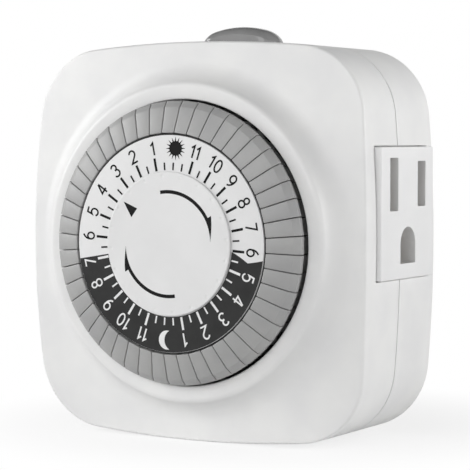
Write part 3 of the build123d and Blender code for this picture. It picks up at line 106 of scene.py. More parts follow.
# ---- Override button ----
button_forward, button_length, button_width, button_top, button_crown = 11.7, 18.4, 7.0, 44.4, 22.0
button_roll, button_skirt, button_gap, straight_left = 1.9, 38.0, 0.3, 0.01
button_flange_lip, button_flange_levels = 1.2, (36.6, 38.1)
stem_forward, stem_size, stem_end, stem_root = 13.7, (2.4, 3.2), 25.8, 37.0
leg_x, leg_size, leg_end = 5.8, (1.6, 4.0), 32.7

# ---- Levels of cutters that pass a wall ----
through_back, through_top, through_floor = (-1.0, 3.0), (36.0, 44.0), (24.0, 27.5)
through_side, through_plate = (34.8, 42.0), (34.0, 42.0)

# ---- Meshes: limits in metres, and angles past which an edge stays sharp ----
merge_distance, sliver = 2e-7, 1e-8
sharp_angle, sharp_label, sharp_ink, sharp_fine = 40.0, 35.0, 60.0, 30.0


# ================= Shells: pairs of points in metres and lists of faces =================
def to_space(x, forward, z):
    """Points in metres from X, forward and Z in millimetres; forward is minus Y."""
    x, forward, z = np.broadcast_arrays(x, forward, z)
    return np.stack([x, -forward, z], axis=-1) * 0.001


def polar(radius, angle):
    """X and Z of a radius and an angle: radius * (cos, sin)."""
    turn = np.radians(angle)
    return radius * np.cos(turn), radius * np.sin(turn)


def grid_faces(rows, columns, close_rows=False, close_columns=False):
    """Quads between neighbours of a grid; a closed direction joins its last line to its first."""
    index = np.arange(rows * columns).reshape(rows, columns)
    if close_rows:
        index = np.vstack([index, index[:1]])
    if close_columns:
        index = np.hstack([index, index[:, :1]])
    quads = np.stack([index[:-1, :-1], index[1:, :-1], index[1:, 1:], index[:-1, 1:]], axis=-1)
    return quads.reshape(-1, 4).tolist()


def grid_shell(points, close_rows=False, close_columns=False, capped=False):
    """Shell over a grid of points. Capped, its first and last rows are closed by a flat face each."""
    rows, columns = points.shape[:2]
    faces = grid_faces(rows, columns, close_rows, close_columns)
    if capped:
        faces += [list(range(columns)), list(range((rows - 1) * columns, rows * columns))]
    return points.reshape(-1, 3), faces


def rounded_path(corners, radii, steps=5):
    """Closed path through corners, each an arc whose centre lies on the bisector, radius / sin(half) away."""
    corners = np.asarray(corners, dtype=float)
    befores, afters = np.roll(corners, 1, axis=0), np.roll(corners, -1, axis=0)
    path = []
    for here, before, after, radius in zip(corners, befores, afters, radii):
        if radius <= 0:
            path.append(here[None])
            continue
        to_before = (before - here) / np.linalg.norm(before - here)
        to_after = (after - here) / np.linalg.norm(after - here)
        half = math.acos(np.clip(to_before @ to_after, -1, 1)) / 2
        bisector = (to_before + to_after) / np.linalg.norm(to_before + to_after)
        centre = here + bisector * radius / math.sin(half)
        start = here + to_before * radius / math.tan(half) - centre
        end = here + to_after * radius / math.tan(half) - centre
        first = math.atan2(start[1], start[0])
        sweep = (math.atan2(end[1], end[0]) - first + math.pi) % (2 * math.pi) - math.pi
        turn = first + sweep * np.linspace(0, 1, steps + 1)
        path.append(centre + radius * np.stack([np.cos(turn), np.sin(turn)], axis=-1))
    return np.vstack(path)


def inset_polygon(corners, inset):
    """Counter-clockwise polygon drawn in: each corner moves by inset * (n1 + n2) / (1 + n1.n2)."""
    corners = np.asarray(corners, dtype=float)
    side = np.roll(corners, -1, axis=0) - corners
    side /= np.linalg.norm(side, axis=1, keepdims=True)
    after = np.stack([-side[:, 1], side[:, 0]], axis=-1)
    before = np.roll(after, 1, axis=0)
    return corners + inset * (before + after) / (1 + np.sum(before * after, axis=1))[:, None]


def turned(corners, radii, columns, steps, centre=(0.0, 0.0)):
    """Body turned about an axis along Y: a closed rounded path of (radius, forward) carried in a circle."""
    path = rounded_path(corners, radii, steps)
    turn = np.linspace(0, 2 * math.pi, columns, endpoint=False)
    x, z = centre[0] + path[:, :1] * np.cos(turn), centre[1] + path[:, :1] * np.sin(turn)
    return grid_shell(to_space(x, path[:, 1:], z), close_rows=True, close_columns=True)


def stack(outlines, levels, axis):
    """Capped pile of flat outlines at levels along an axis.

    Axis "y" has outlines of (X, Z) at forwards, "x" of (forward, Z), and "z" of (X, forward).
    """
    outlines = np.broadcast_to(np.asarray(outlines, float), (len(levels), *np.shape(outlines)[-2:]))
    a, b, level = outlines[..., 0], outlines[..., 1], np.asarray(levels, float)[:, None]
    order = {"y": (a, level, b), "x": (level, a, b), "z": (a, b, level)}[axis]
    return grid_shell(to_space(*order), close_columns=True, capped=True)


def slab(x, z, low, high):
    """Closed slab over a grid of (X, Z): the grid at both forwards, and a wall round its rim."""
    index = np.arange(x.size).reshape(x.shape)
    rim = np.concatenate([index[0, :-1], index[:-1, -1], index[-1, :0:-1], index[:0:-1, 0]])
    side = np.stack([rim, np.roll(rim, -1), np.roll(rim, -1) + x.size, rim + x.size], axis=-1)
    flat = np.array(grid_faces(*x.shape))
    points = np.concatenate([to_space(x, low, z).reshape(-1, 3), to_space(x, high, z).reshape(-1, 3)])
    return points, [*flat.tolist(), *(flat + x.size).tolist(), *side.tolist()]


def rectangle(centre, size, corner=0.0, steps=4, inset=0.0):
    """Counter-clockwise rectangle with rounded corners."""
    a, b = size[0] / 2 - inset, size[1] / 2 - inset
    corners = np.array([(-a, -b), (a, -b), (a, b), (-a, b)]) + centre
    return rounded_path(corners, [corner] * 4, steps)


def stadium(centre, size, steps=16):
    """Rectangle whose short sides are half circles, but for a hair of straight in their middle."""
    return rectangle(centre, size, min(size) / 2 - straight_left, steps)


def circle(centre, radius, steps=64):
    """Circle as an outline."""
    x, z = polar(radius, np.linspace(0, 360, steps, endpoint=False))
    return np.stack([centre[0] + x, centre[1] + z], axis=-1)


def smooth(mesh, sharp):
    """Shades a mesh smooth but for edges steeper than an angle."""
    mesh.shade_smooth()
    mesh.set_sharp_from_angle(angle=math.radians(sharp))


def add_object(name, data):
    """New object of the scene, at the origin."""
    thing = bpy.data.objects.new(name, data)
    bpy.context.collection.objects.link(thing)
    return thing


def new_piece(name, shells, sharp=sharp_angle):
    """One object at the origin from shells: doubles merged, faces outwards, steep edges kept sharp."""
    vertices, faces, start = [], [], 0
    for points, shell_faces in shells:
        vertices.append(points)
        faces += [[corner + start for corner in face] for face in shell_faces]
        start += len(points)
    mesh = bpy.data.meshes.new(name)
    mesh.from_pydata(np.vstack(vertices).tolist(), [], faces)
    work = bmesh.new()
    work.from_mesh(mesh)
    bmesh.ops.remove_doubles(work, verts=work.verts, dist=merge_distance)
    bmesh.ops.dissolve_degenerate(work, dist=sliver, edges=work.edges)
    bmesh.ops.recalc_face_normals(work, faces=work.faces)
    work.to_mesh(mesh)
    work.free()
    smooth(mesh, sharp)
    return add_object(name, mesh)


def cut(piece, shells):
    """Cuts solids out of the piece and keeps the result as its mesh."""
    cutter = new_piece("cutter", shells)
    step = piece.modifiers.new("cut", "BOOLEAN")
    step.operation, step.solver, step.object = "DIFFERENCE", "EXACT", cutter
    bpy.context.view_layer.update()
    depsgraph = bpy.context.evaluated_depsgraph_get()
    mesh = bpy.data.meshes.new_from_object(piece.evaluated_get(depsgraph))
    piece.modifiers.clear()
    piece.data = mesh
    smooth(mesh, sharp_angle)
    bpy.data.objects.remove(cutter)


# ================= Housing =================
def bow_circle(reach, across):
    """Radius and centre of a side's arc: (half chord^2 + bow^2) / (2 bow), and reach - radius."""
    radius = ((across - side_bow) ** 2 + side_bow**2) / (2 * side_bow)
    return radius, reach - radius


def housing_outline(side_steps=72, corner_steps=28):
    """Bowed square as X, Z and outward normal: four side arcs joined by corner arcs that touch both.

    A corner arc's centre is where circles of radius (side radius - corner radius) about the side arcs'
    centres meet.
    """
    top_radius, top_centre = bow_circle(half_height, half_width)
    right_radius, right_centre = bow_circle(half_width, half_height)
    near_top, near_right = top_radius - corner_radius, right_radius - corner_radius
    span = np.array([right_centre, -top_centre])
    gap = np.linalg.norm(span)
    along = (near_top**2 - near_right**2 + gap**2) / (2 * gap)
    unit = span / gap
    across = math.sqrt(near_top**2 - along**2)
    corner = (along * unit[0] + across * unit[1], top_centre + along * unit[1] - across * unit[0])
    right_end = math.atan2(corner[1], corner[0] - right_centre)
    top_end = math.atan2(corner[1] - top_centre, corner[0])
    arcs = [
        (right_centre, 0.0, right_radius, -right_end, right_end, side_steps),
        (corner[0], corner[1], corner_radius, right_end, top_end, corner_steps),
        (0.0, top_centre, top_radius, top_end, math.pi - top_end, side_steps),
        (-corner[0], corner[1], corner_radius, math.pi - top_end, math.pi - right_end, corner_steps),
    ]
    turns = [np.linspace(first, last, steps, endpoint=False) for _, _, _, first, last, steps in arcs]
    x = np.concatenate([arc[0] + arc[2] * np.cos(turn) for arc, turn in zip(arcs, turns)])
    z = np.concatenate([arc[1] + arc[2] * np.sin(turn) for arc, turn in zip(arcs, turns)])
    turn = np.concatenate(turns)
    x, z, turn = np.concatenate([x, -x]), np.concatenate([z, -z]), np.concatenate([turn, turn + math.pi])
    return x, z, np.cos(turn), np.sin(turn)


edge_x, edge_z, edge_normal_x, edge_normal_z = housing_outline()


def dome(radius, depth=0.0):
    """Forward of the domed front at a radius from the axis: centre + sqrt((R - depth)^2 - radius^2)."""
    centre = crease - math.sqrt(dome_radius**2 - half_width**2)
    return centre + np.sqrt((dome_radius - depth) ** 2 - radius**2)


def edge_loop(inset):
    """X and Z of the housing's outline drawn in along its normals."""
    return edge_x - inset * edge_normal_x, edge_z - inset * edge_normal_z


def wall_row(inset, forward):
    """One loop of the housing's wall."""
    x, z = edge_loop(inset)
    return to_space(x, forward, z)


def ring_row(radius, forward):
    """One loop on a circle about the dial's axis, in the outline's own directions."""
    reach = np.hypot(edge_x, edge_z)
    return to_space(radius * edge_x / reach, forward, radius * edge_z / reach)


def dome_rows(inset, radius, depth, shares):
    """Loops on the dome from the wall's inset loop (share 0) straight to a circle (share 1)."""
    x, z = edge_loop(inset)
    reach = np.hypot(edge_x, edge_z)
    share = np.asarray(shares)[:, None]
    x = x * (1 - share) + share * radius * edge_x / reach
    z = z * (1 - share) + share * radius * edge_z / reach
    return list(to_space(x, dome(np.hypot(x, z), depth), z))


def tangent_arc(start, direction, end, steps):
    """Arc that leaves start along direction and ends at end, and the direction it ends in.

    Its centre is start + radius * normal, with radius = |end - start|^2 / (2 (end - start).normal).
    """
    start, direction, end = (np.asarray(value, dtype=float) for value in (start, direction, end))
    direction = direction / np.linalg.norm(direction)
    normal = np.array([-direction[1], direction[0]])
    reach = end - start
    radius = (reach @ reach) / (2 * (reach @ normal))
    centre = start + radius * normal
    first = math.atan2(start[1] - centre[1], start[0] - centre[0])
    last = math.atan2(end[1] - centre[1], end[0] - centre[0])
    sweep = (last - first + math.pi) % (2 * math.pi) - math.pi
    turn = first + sweep * np.linspace(0, 1, steps + 1)
    path = centre + abs(radius) * np.stack([np.cos(turn), np.sin(turn)], axis=-1)
    leaving = np.array([-math.sin(turn[-1]), math.cos(turn[-1])]) * math.copysign(1, sweep)
    return path, leaving


def seam_rows(level, side):
    """Three loops round a seam's edge from its joint face to the wall; side is 1 forwards."""
    middle = 0.3 * seam_edge
    insets = ((seam_edge, 0.0), (middle, middle), (0.0, seam_edge))
    return [wall_row(inset, level + side * rise) for inset, rise in insets]


def front_case(roll_steps=7, dome_steps=24, cove_steps=14, roof_steps=8, inner_steps=7):
    """Front half as loops: up the wall, round the crease, over the dome, up the cove and rim, back inside.

    The crease's arc has its centre where the dome, lowered by the arc's radius, meets the wall's inset.
    """
    slope = math.asin(half_width / dome_radius)
    roll_inset = crease_edge * (1 - math.sin(slope))
    roll_centre = dome(np.hypot(*edge_loop(roll_inset))) - crease_edge * math.cos(slope)
    low = seam + seam_half_gap
    wall_start = low + seam_edge
    rows = seam_rows(low, 1)
    for share in (0.04, 0.3, 0.65, 0.95, 1.0):
        rows.append(wall_row(0.0, wall_start + share * (roll_centre - wall_start)))
    for turn in np.linspace(0, math.pi / 2 - slope, roll_steps + 1)[1:]:
        rows.append(wall_row(crease_edge * (1 - math.cos(turn)), roll_centre + crease_edge * math.sin(turn)))
    rows += dome_rows(roll_inset, cove_radius, 0.0, np.linspace(0, 1, dome_steps + 1)[1:])
    cove, leaving = tangent_arc((cove_radius, dome(cove_radius)), (-1, cove_slope), shoulder, cove_steps)
    roof, _ = tangent_arc(shoulder, leaving, (rim_outer, rim_top), roof_steps)
    well = [
        (rim_outer, rim_top), (rim_inner, rim_top), (rim_inner, floor_front), (floor_hole, floor_front),
        (floor_hole, floor_back),
    ]
    turned_in = rounded_path(well, [0, rim_round, well_round, floor_round, 0])
    cove_back = (cove_radius, dome(cove_radius, wall))
    back = [(well_outer, floor_back), (well_outer, well_front), rim_back, cove_back]
    rows += [ring_row(*point) for point in [*cove[1:], *roof[1:], *turned_in[1:], *back]]
    rows += dome_rows(wall, cove_radius, wall, np.linspace(1, 0, inner_steps + 1)[1:])
    rows.append(wall_row(wall, low))
    return grid_shell(np.stack(rows), close_rows=True, close_columns=True)


def rear_case(roll_steps=8):
    """Rear half as loops: back along the wall, round the back edge, over the back, inside to the lip."""
    high = seam - seam_half_gap
    wall_end = high - seam_edge
    rows = [wall_row(lip_inset, high), *seam_rows(high, -1)[:2]]
    for share in (0.0, 0.05, 0.35, 0.7, 0.95):
        rows.append(wall_row(0.0, wall_end - share * (wall_end - back_edge)))
    for turn in np.linspace(0, math.pi / 2, roll_steps + 1):
        rows.append(wall_row(back_edge * (1 - math.cos(turn)), back_edge * (1 - math.sin(turn))))
    flat, inside = wall_row(back_edge, 0.0), wall_row(wall, back_wall)
    rows += [flat * [share, 1, share] for share in (0.97, 0.8, 0.5, 0.2, 0.0)]
    rows += [inside * [share, 1, share] for share in (0.0, 0.5, 1.0)]
    rows += [wall_row(wall, high + lip_rise), wall_row(lip_inset, high + lip_rise)]
    return grid_shell(np.stack(rows), close_rows=True, close_columns=True)


def screw_post(place):
    """Post round a screw's well: a tube from the back wall to the seam, with the screw's seat inside."""
    path = [
        (well_radius, post_start), (post_radius, post_start), (post_radius, seam),
        (post_hole, seam), (post_hole, screw_seat), (well_radius, screw_seat),
    ]
    return turned(path, [0, 0, 0, 0, 0, seat_round], 48, 3, place)


post_places = [(post_x, post_z), (-post_x, post_z), (-post_x, -post_z), (post_x, -post_z)]
window_size = (outlet_depth + 2 * window_gap, outlet_height + 2 * window_gap)
window = stack(rectangle((outlet_forward, outlet_z), window_size, window_round), through_side, "x")
button_hole = (button_length + 2 * button_gap, button_width + 2 * button_gap)

front_skin = new_piece("front_case", [front_case()])
cut(front_skin, [window, stack(rectangle(polar(foot_radius, nose_angle), nose_hole), through_floor, "y")])

rear_skin = new_piece("rear_case", [rear_case()])
cut(rear_skin, [
    window,
    stack(stadium((0.0, button_forward), button_hole), through_top, "z"),
    stack(rectangle((slot_half_spacing, slot_z), line_hole, blade_hole_round), through_back, "y"),
    stack(rectangle((-slot_half_spacing, slot_z), neutral_hole, blade_hole_round), through_back, "y"),
    stack(circle((0.0, 0.0), pin_hole_radius), through_back, "y"),
    stack(rectangle((0.0, recess_z), recess_size, recess_round, 8), (through_back[0], recess_depth), "y"),
    *(stack(circle(place, well_radius + well_play), through_back, "y") for place in post_places),
])
posts = new_piece("rear_case_posts", [screw_post(place) for place in post_places])


# ================= Trip tabs =================
def bar(angle, low_radius, high_radius, width, low, high):
    """Straight bar along Y at an angle of the dial, from one radius to another."""
    out = np.array(polar(1.0, angle))
    across = np.array([-out[1], out[0]]) * width / 2
    inner, outer = low_radius * out, high_radius * out
    return stack([inner - across, outer - across, outer + across, inner + across], [low, high], "y")


def tab(middle, side_rows=4):
    """One tab: a section of (radius, forward), with a lip at the rim, carried across its angle.

    Towards each side face the section is drawn in by r (1 - sin t) while the angle closes by
    r (1 - cos t) / radius, and its own corners' radius goes from 0.3 r to r.
    """
    section = [
        (tab_inner, tab_back), (tab_under, tab_back), (tab_under, tab_lip_back), (tab_outer, tab_lip_back),
        (tab_outer, tab_edge_face), (tab_bevel, tab_bevel_face), (tab_inner, tab_inner_face),
    ]
    half = (tab_step - tab_gap) / 2
    rows = []
    for side in (-1, 1):
        for turn in np.linspace(0, math.pi / 2, side_rows)[::-side]:
            drawn = inset_polygon(section, tab_round * (1 - math.sin(turn)))
            path = rounded_path(drawn, [tab_round * (0.3 + 0.7 * math.sin(turn))] * len(section), 3)
            angle = middle + side * (half - np.degrees(tab_round * (1 - math.cos(turn)) / path[:, 0]))
            x, z = polar(path[:, 0], angle)
            rows.append(to_space(x, path[:, 1], z))
    return grid_shell(np.stack(rows), close_columns=True, capped=True)


def tab_with_foot(middle):
    """A tab, the foot that works the follower, and the key that slides in the drum's groove."""
    foot = foot_radius - foot_half_length, foot_radius + foot_half_length
    return [
        tab(middle),
        bar(middle, *foot, foot_width, foot_end, foot_root),
        bar(middle, key_inner, key_outer, key_width, key_start, key_end),
    ]


tabs = {}
for pair in range(tab_pairs):
    first = nose_angle + (2 * pair + 0.5) * tab_step
    tabs[pair] = new_piece(f"tabs_{pair:02d}", tab_with_foot(first) + tab_with_foot(first + tab_step))


# ================= Label and its print =================
label_section = [
    (label_bore, label_back), (label_outer, label_back), (label_outer, label_face), (label_bore, label_face),
]
label = new_piece("dial_label_ring", [turned(label_section, [0, 0, label_edge, 0], 240, 3)], sharp_label)
one_ink, two_inks = (label_face, label_face + ink), (label_face, label_face + 2 * ink)


def oval(middle, reach, start, end, steps):
    """Points on an ellipse from a start angle to an end angle, as (u, v)."""
    turn = np.radians(np.linspace(start, end, steps))
    return np.stack([middle[0] + reach[0] * np.cos(turn), middle[1] + reach[1] * np.sin(turn)], axis=-1)


# Each digit's strokes in a field one unit high: u to the right and v up.
two = np.vstack([oval((0.0, 0.72), (0.26, 0.28), 165, -38, 16), [(-0.26, 0.02), (0.28, 0.02)]])
five_top = [(0.24, 0.98), (-0.16, 0.98), (-0.22, 0.52)]
six_stem = oval((0.22, 0.36), (0.48, 0.66), 104, 166, 9)
six = np.vstack([six_stem, oval((0.0, 0.31), (0.26, 0.31), 166, 520, 26)])
strokes = {
    "0": [oval((0.0, 0.5), (0.26, 0.5), 90, 450, 33)],
    "1": [[(-0.17, 0.76), (0.06, 0.97), (0.06, 0.0)]],
    "2": [two],
    "3": [oval((-0.02, 0.76), (0.24, 0.24), 155, -95, 16), oval((-0.02, 0.27), (0.28, 0.27), 95, -155, 18)],
    "4": [[(0.12, 0.0), (0.12, 1.0)], [(0.08, 1.0), (-0.27, 0.28), (0.3, 0.28)]],
    "5": [np.vstack([five_top, oval((0.0, 0.32), (0.27, 0.32), 128, -150, 18)])],
    "6": [six],
    "7": [[(-0.27, 0.98), (0.26, 0.98), (-0.08, 0.0)]],
    "8": [oval((0.0, 0.76), (0.22, 0.24), -90, 270, 22), oval((0.0, 0.26), (0.27, 0.26), 90, 450, 22)],
    "9": [(0.0, 1.0) - six],
}


def ribbon(path):
    """Edges of a stroke: half its width times (n1 + n2) / (1 + n1.n2) to both sides; n is a run's normal."""
    path = np.asarray(path, dtype=float)
    run = np.diff(path, axis=0)
    run /= np.linalg.norm(run, axis=1, keepdims=True)
    normal = np.stack([-run[:, 1], run[:, 0]], axis=-1)
    before, after = np.vstack([normal[:1], normal]), np.vstack([normal, normal[-1:]])
    side = (before + after) / (1 + np.sum(before * after, axis=1))[:, None] * digit_stroke / digit_height / 2
    return np.stack([path - side, path + side])


def number(text, angle, layer_lift=0.3, stroke_rise=0.2):
    """Number on the label with its top outwards: u runs clockwise and v outwards from its middle.

    Its ink rises by a share of its thickness along each stroke and from stroke to stroke, so that no two
    faces lie in one plane where strokes cross.
    """
    out_x, out_z = polar(1.0, angle)
    pitch = narrow_pitch if text == "11" else digit_pitch
    shells = []
    for order, digit in enumerate(text):
        place = (order - (len(text) - 1) / 2) * pitch
        for layer, path in enumerate(strokes[digit]):
            edges = ribbon(path)
            u, v = (edges[..., 0] + place) * digit_height, digit_radius + (edges[..., 1] - 0.5) * digit_height
            top = label_face + ink * (2 + layer_lift * layer + np.linspace(0, stroke_rise, edges.shape[1]))
            shells.append(slab(v * out_x + u * out_z, v * out_z - u * out_x, label_face, top))
    return shells


def night_zone(rings=25, steps=97):
    """Dark sector of the label. Its far end is notched: one angle for each radius."""
    radius = np.linspace(night_inner, night_outer, rings)
    end = np.interp(radius, notch_radii, notch_angles)
    share = np.linspace(0, 1, steps)
    x, z = polar(radius[:, None], night_start + (end[:, None] - night_start) * share)
    return slab(x, z, *one_ink)


def sun():
    """Disc with pointed rays: the radius goes out to the ray's tip and back, then on to the next ray."""
    between = 360 / sun_rays
    angle = np.arange(sun_rays)[:, None] * between + [-ray_half_angle, 0.0, ray_half_angle, between / 2]
    x, z = polar(np.tile([sun_radius, ray_reach, sun_radius, sun_radius], sun_rays), angle.ravel())
    place = polar(sun_from_axis, sun_angle)
    return stack(np.stack([place[0] + x, place[1] + z], axis=-1), two_inks, "y")


def bulge_arc(bulge, steps=24):
    """Arc between the moon's horns as (across, along): its radius is (half^2 + bulge^2) / (2 bulge)."""
    radius = (horn_half**2 + bulge**2) / (2 * bulge)
    span = math.atan2(horn_half, radius - bulge)
    turn = np.linspace(-span, span, steps)
    return np.stack([radius * np.cos(turn) - radius + bulge, radius * np.sin(turn)], axis=-1)


def moon():
    """Crescent between two arcs, with its horns on one radius of the dial."""
    path = np.vstack([bulge_arc(moon_bulge), bulge_arc(moon_hollow)[::-1][1:-1]])
    out = np.array(polar(1.0, moon_angle))
    side = np.array([out[1], -out[0]])
    return stack((moon_from_axis + path[:, 1:]) * out + path[:, :1] * side, two_inks, "y")


# One tick each half hour, counter-clockwise from noon: long with its number on the hour, short between and
# at noon and midnight, where the sun and the moon stand. The seven in the night zone is shifted from its end.
night = new_piece("dial_night_print", [night_zone()], sharp_label)
black_shells, white_shells = [sun()], [moon()]
half_hours, evening_seven, seven_shift = 48, 14, 1.3
for half_hour in range(half_hours):
    angle = 90 + print_turn + half_hour * 360 / half_hours
    hour, on_the_hour = (half_hour // 2) % 12, half_hour % 2 == 0
    shells = white_shells if night_start < angle % 360 < notch_angles[0] else black_shells
    long = on_the_hour and hour != 0
    end, width = (tick_end, tick_width) if long else (short_tick_end, short_tick_width)
    shells.append(bar(angle, tick_start, end, width, *two_inks))
    if long:
        shells += number(str(hour), angle + (seven_shift if half_hour == evening_seven else 0.0))
black_print = new_piece("dial_black_print", black_shells, sharp_ink)
white_print = new_piece("dial_white_print", white_shells, sharp_ink)


# ================= Pointer disc =================
def pointer_body(columns=720):
    """Disc turned about the dial's axis, with a ring of dimples, each depth * exp(-(distance / size)^2)."""
    corners = [
        (0.0, screw_top), (boss_inner, screw_top), (boss_inner, boss_back), (boss_outer, boss_back),
        (boss_outer, disc_back), (disc_plug, disc_back), (disc_plug, disc_under), (disc_radius, disc_under),
        (disc_radius, disc_face), (disc_centre, disc_face),
    ]
    edge = rounded_path(corners, [0, 0, 0, 0, 0, 0, 0, disc_under_edge, disc_edge, 0])
    dimpled = np.arange(14.05, 12.9, -0.1)
    face_radii = np.concatenate([dimpled, [12.8, 12.0, 10.0, 7.0, 4.0, 2.0, 0.0]])
    face = np.stack([face_radii, np.full(face_radii.size, disc_face)], axis=-1)
    path = np.vstack([edge[:-1], face])
    radius, forward = path[:, :1], path[:, 1:]
    turn = np.linspace(0, 360, columns, endpoint=False)
    off = (turn - dimple_start + dimple_step / 2) % dimple_step - dimple_step / 2
    distance = np.hypot(radius - dimple_ring, off * math.pi / 180 * dimple_ring) / dimple_size
    on_face = forward > disc_face - 1e-6
    x, z = polar(radius, turn)
    sunk = forward - on_face * dimple_depth * np.exp(-(distance**2))
    return grid_shell(to_space(x, sunk, z), close_columns=True)


def turning_arrow(start):
    """Clockwise arrow: a band between two radii, then a half barb whose outer radius falls to the tip.

    The barb's outer radius is tip + (reach - tip) * fade^power, with fade from 1 at its start to 0.
    """
    band, barb = np.linspace(0, barb_start, 40), np.linspace(barb_start, arrow_tip, 30)[1:]
    along = np.concatenate([band, [barb_start + 0.01], barb])
    fade = np.clip((arrow_tip - along) / (arrow_tip - barb_start), 0, 1)
    on_band = along <= barb_start
    inner = np.where(on_band, arrow_inner, tip_inner + (arrow_inner - tip_inner) * fade)
    outer = np.where(on_band, arrow_outer, tip_outer + (barb_reach - tip_outer) * fade**barb_power)
    x, z = polar(np.stack([inner, outer]), start - along)
    return slab(x, z, disc_face, disc_face + ink)


disc = new_piece("time_pointer_disc", [pointer_body()], sharp_fine)
pointer = stack([polar(*corner) for corner in pointer_corners], [disc_face, disc_face + ink], "y")
arrows = [turning_arrow(start) for start in arrow_starts]
disc_print = new_piece("pointer_and_arrows", [*arrows, pointer], sharp_ink)


# ================= Outlet face =================
def outlet_plate():
    """Plate with a rolled front edge: its outline is drawn in by r (1 - cos t) as it rises by r sin t."""
    turns = np.linspace(0, math.pi / 2, 5)
    insets = [0.0, *(plate_roll * (1 - np.cos(turns)))]
    levels = [plate_root, *(outlet_face_x - plate_roll * (1 - np.sin(turns)))]
    place, size = (outlet_forward, outlet_z), (outlet_depth, outlet_height)
    return stack([rectangle(place, size, plate_round - inset, 4, inset) for inset in insets], levels, "x")


def ground_outline():
    """Hole for a round pin: a half circle over a rectangle."""
    x, z = polar(1.0, np.linspace(0, 180, 25))
    arch = np.stack([outlet_forward + ground_half_width * x, ground_arch * z], axis=-1)
    left, right = outlet_forward - ground_half_width, outlet_forward + ground_half_width
    return np.vstack([[(left, ground_foot), (right, ground_foot)], arch])


flange_size = (outlet_depth + 2 * flange_margin, outlet_height + 2 * flange_margin)
flange_shell = stack(rectangle((outlet_forward, outlet_z), flange_size, window_round), flange_levels, "x")
slots, pockets = [stack(ground_outline(), through_plate, "x")], []
for side, height in [(1, neutral_slot_height), (-1, line_slot_height)]:
    place = (outlet_forward + side * slot_half_spacing, slot_z)
    pocket = (slot_width + 2 * pocket_margin, height + 2 * pocket_margin)
    pocket_levels = (through_plate[0], outlet_face_x - slot_skin)
    slots.append(stack(rectangle(place, (slot_width, height), slot_round), through_plate, "x"))
    pockets.append(stack(rectangle(place, pocket, slot_round), pocket_levels, "x"))
outlet = new_piece("outlet_plate", [outlet_plate()])
cut(outlet, pockets)
cut(outlet, slots)
flange = new_piece("outlet_flange", [flange_shell])
cut(flange, pockets)
cut(flange, slots[:1])


# ================= Override button =================
def button_cap(end_points=25, side_points=24, roll_rows=14):
    """Crowned cap: a stadium that draws in while it rises by h sin t, on a crown of radius R along X.

    The stadium is a side of half length s and an end (s + r cos a, r sin a), and so on round. Its radius
    falls as r (0.02 + 0.98 cos t), and what it leaves is capped flat.
    """
    reach, kept = button_width / 2, 0.02
    straight = button_length / 2 - reach
    end_turn = np.linspace(-math.pi / 2, math.pi / 2, end_points)
    side_x = np.linspace(straight, -straight, side_points + 2)[1:-1]
    ends, along_side = np.full(end_points, straight), np.zeros(side_points)
    x_of_side = np.concatenate([ends, side_x, -ends, -side_x])
    out_x = np.concatenate([np.cos(end_turn), along_side, -np.cos(end_turn), along_side])
    out_y = np.concatenate([np.sin(end_turn), along_side + 1, -np.sin(end_turn), along_side - 1])
    rows = [to_space(x_of_side + reach * out_x, button_forward + reach * out_y, button_skirt)]
    for turn in np.linspace(0, math.pi / 2, roll_rows):
        radius = reach * (kept + (1 - kept) * math.cos(turn))
        x = x_of_side + radius * out_x
        crown = button_top - button_crown + np.sqrt(button_crown**2 - x**2)
        rows.append(to_space(x, button_forward + radius * out_y, crown - button_roll * (1 - math.sin(turn))))
    return grid_shell(np.stack(rows), close_columns=True, capped=True)


button_flange = (button_length + 2 * button_flange_lip, button_width + 2 * button_flange_lip)
button = new_piece("override_cap", [
    button_cap(),
    stack(stadium((0.0, button_forward), button_flange), button_flange_levels, "z"),
    stack(rectangle((0.0, stem_forward), stem_size), (stem_end, stem_root), "z"),
    stack(rectangle((leg_x, stem_forward), leg_size), (leg_end, stem_root), "z"),
])


# ================= Copies of CAD nodes with softened edges =================
def softened(node, name, width):
    """Merged copy of a CAD node with its flat faces whole again and its edges rounded."""
    work = bmesh.new()
    work.from_mesh(frame["nodes"][node].data)
    bmesh.ops.remove_doubles(work, verts=work.verts, dist=1e-6)
    bmesh.ops.dissolve_limit(work, angle_limit=math.radians(0.3), verts=work.verts, edges=work.edges)
    mesh = bpy.data.meshes.new(name)
    work.to_mesh(mesh)
    work.free()
    mesh.materials.clear()
    smooth(mesh, sharp_fine)
    piece = add_object(name, mesh)
    edge = piece.modifiers.new("edges", "BEVEL")
    edge.width, edge.segments = width * 0.001, 3
    edge.limit_method, edge.angle_limit = "ANGLE", math.radians(sharp_angle)
    edge.harden_normals, edge.use_clamp_overlap = True, True
    return piece


neutral_prong = softened("neutral_blade", "plug_neutral_blade", 0.12)
line_prong = softened("line_blade", "plug_line_blade", 0.12)
ground_prong = softened("ground_pin", "plug_ground_pin", 0.1)
case_screws = softened("housing_screws", "case_screws", 0.08)


# ================= Materials =================
def linear(colour):
    """Linear RGBA of an sRGB hex value: c / 12.92 where dark, or else ((c + 0.055) / 1.055)^2.4."""
    share = np.array([int(colour[place : place + 2], 16) for place in (1, 3, 5)]) / 255
    return (*np.where(share <= 0.04045, share / 12.92, ((share + 0.055) / 1.055) ** 2.4).tolist(), 1.0)


def add_node(material, kind, inputs=None, **settings):
    """Adds a node with its settings; each input, by name or number, gets a value or a link."""
    tree = material.node_tree
    node = tree.nodes.new("ShaderNode" + kind)
    for name, value in settings.items():
        setattr(node, name, value)
    for name, value in (inputs or {}).items():
        if isinstance(value, bpy.types.NodeSocket):
            tree.links.new(value, node.inputs[name])
        else:
            node.inputs[name].default_value = value
    return node


def node_material(name):
    """Empty node material and its Object coordinates."""
    material = bpy.data.materials.new(name)
    material.use_nodes = True
    material.node_tree.nodes.clear()
    return material, add_node(material, "TexCoord").outputs["Object"]


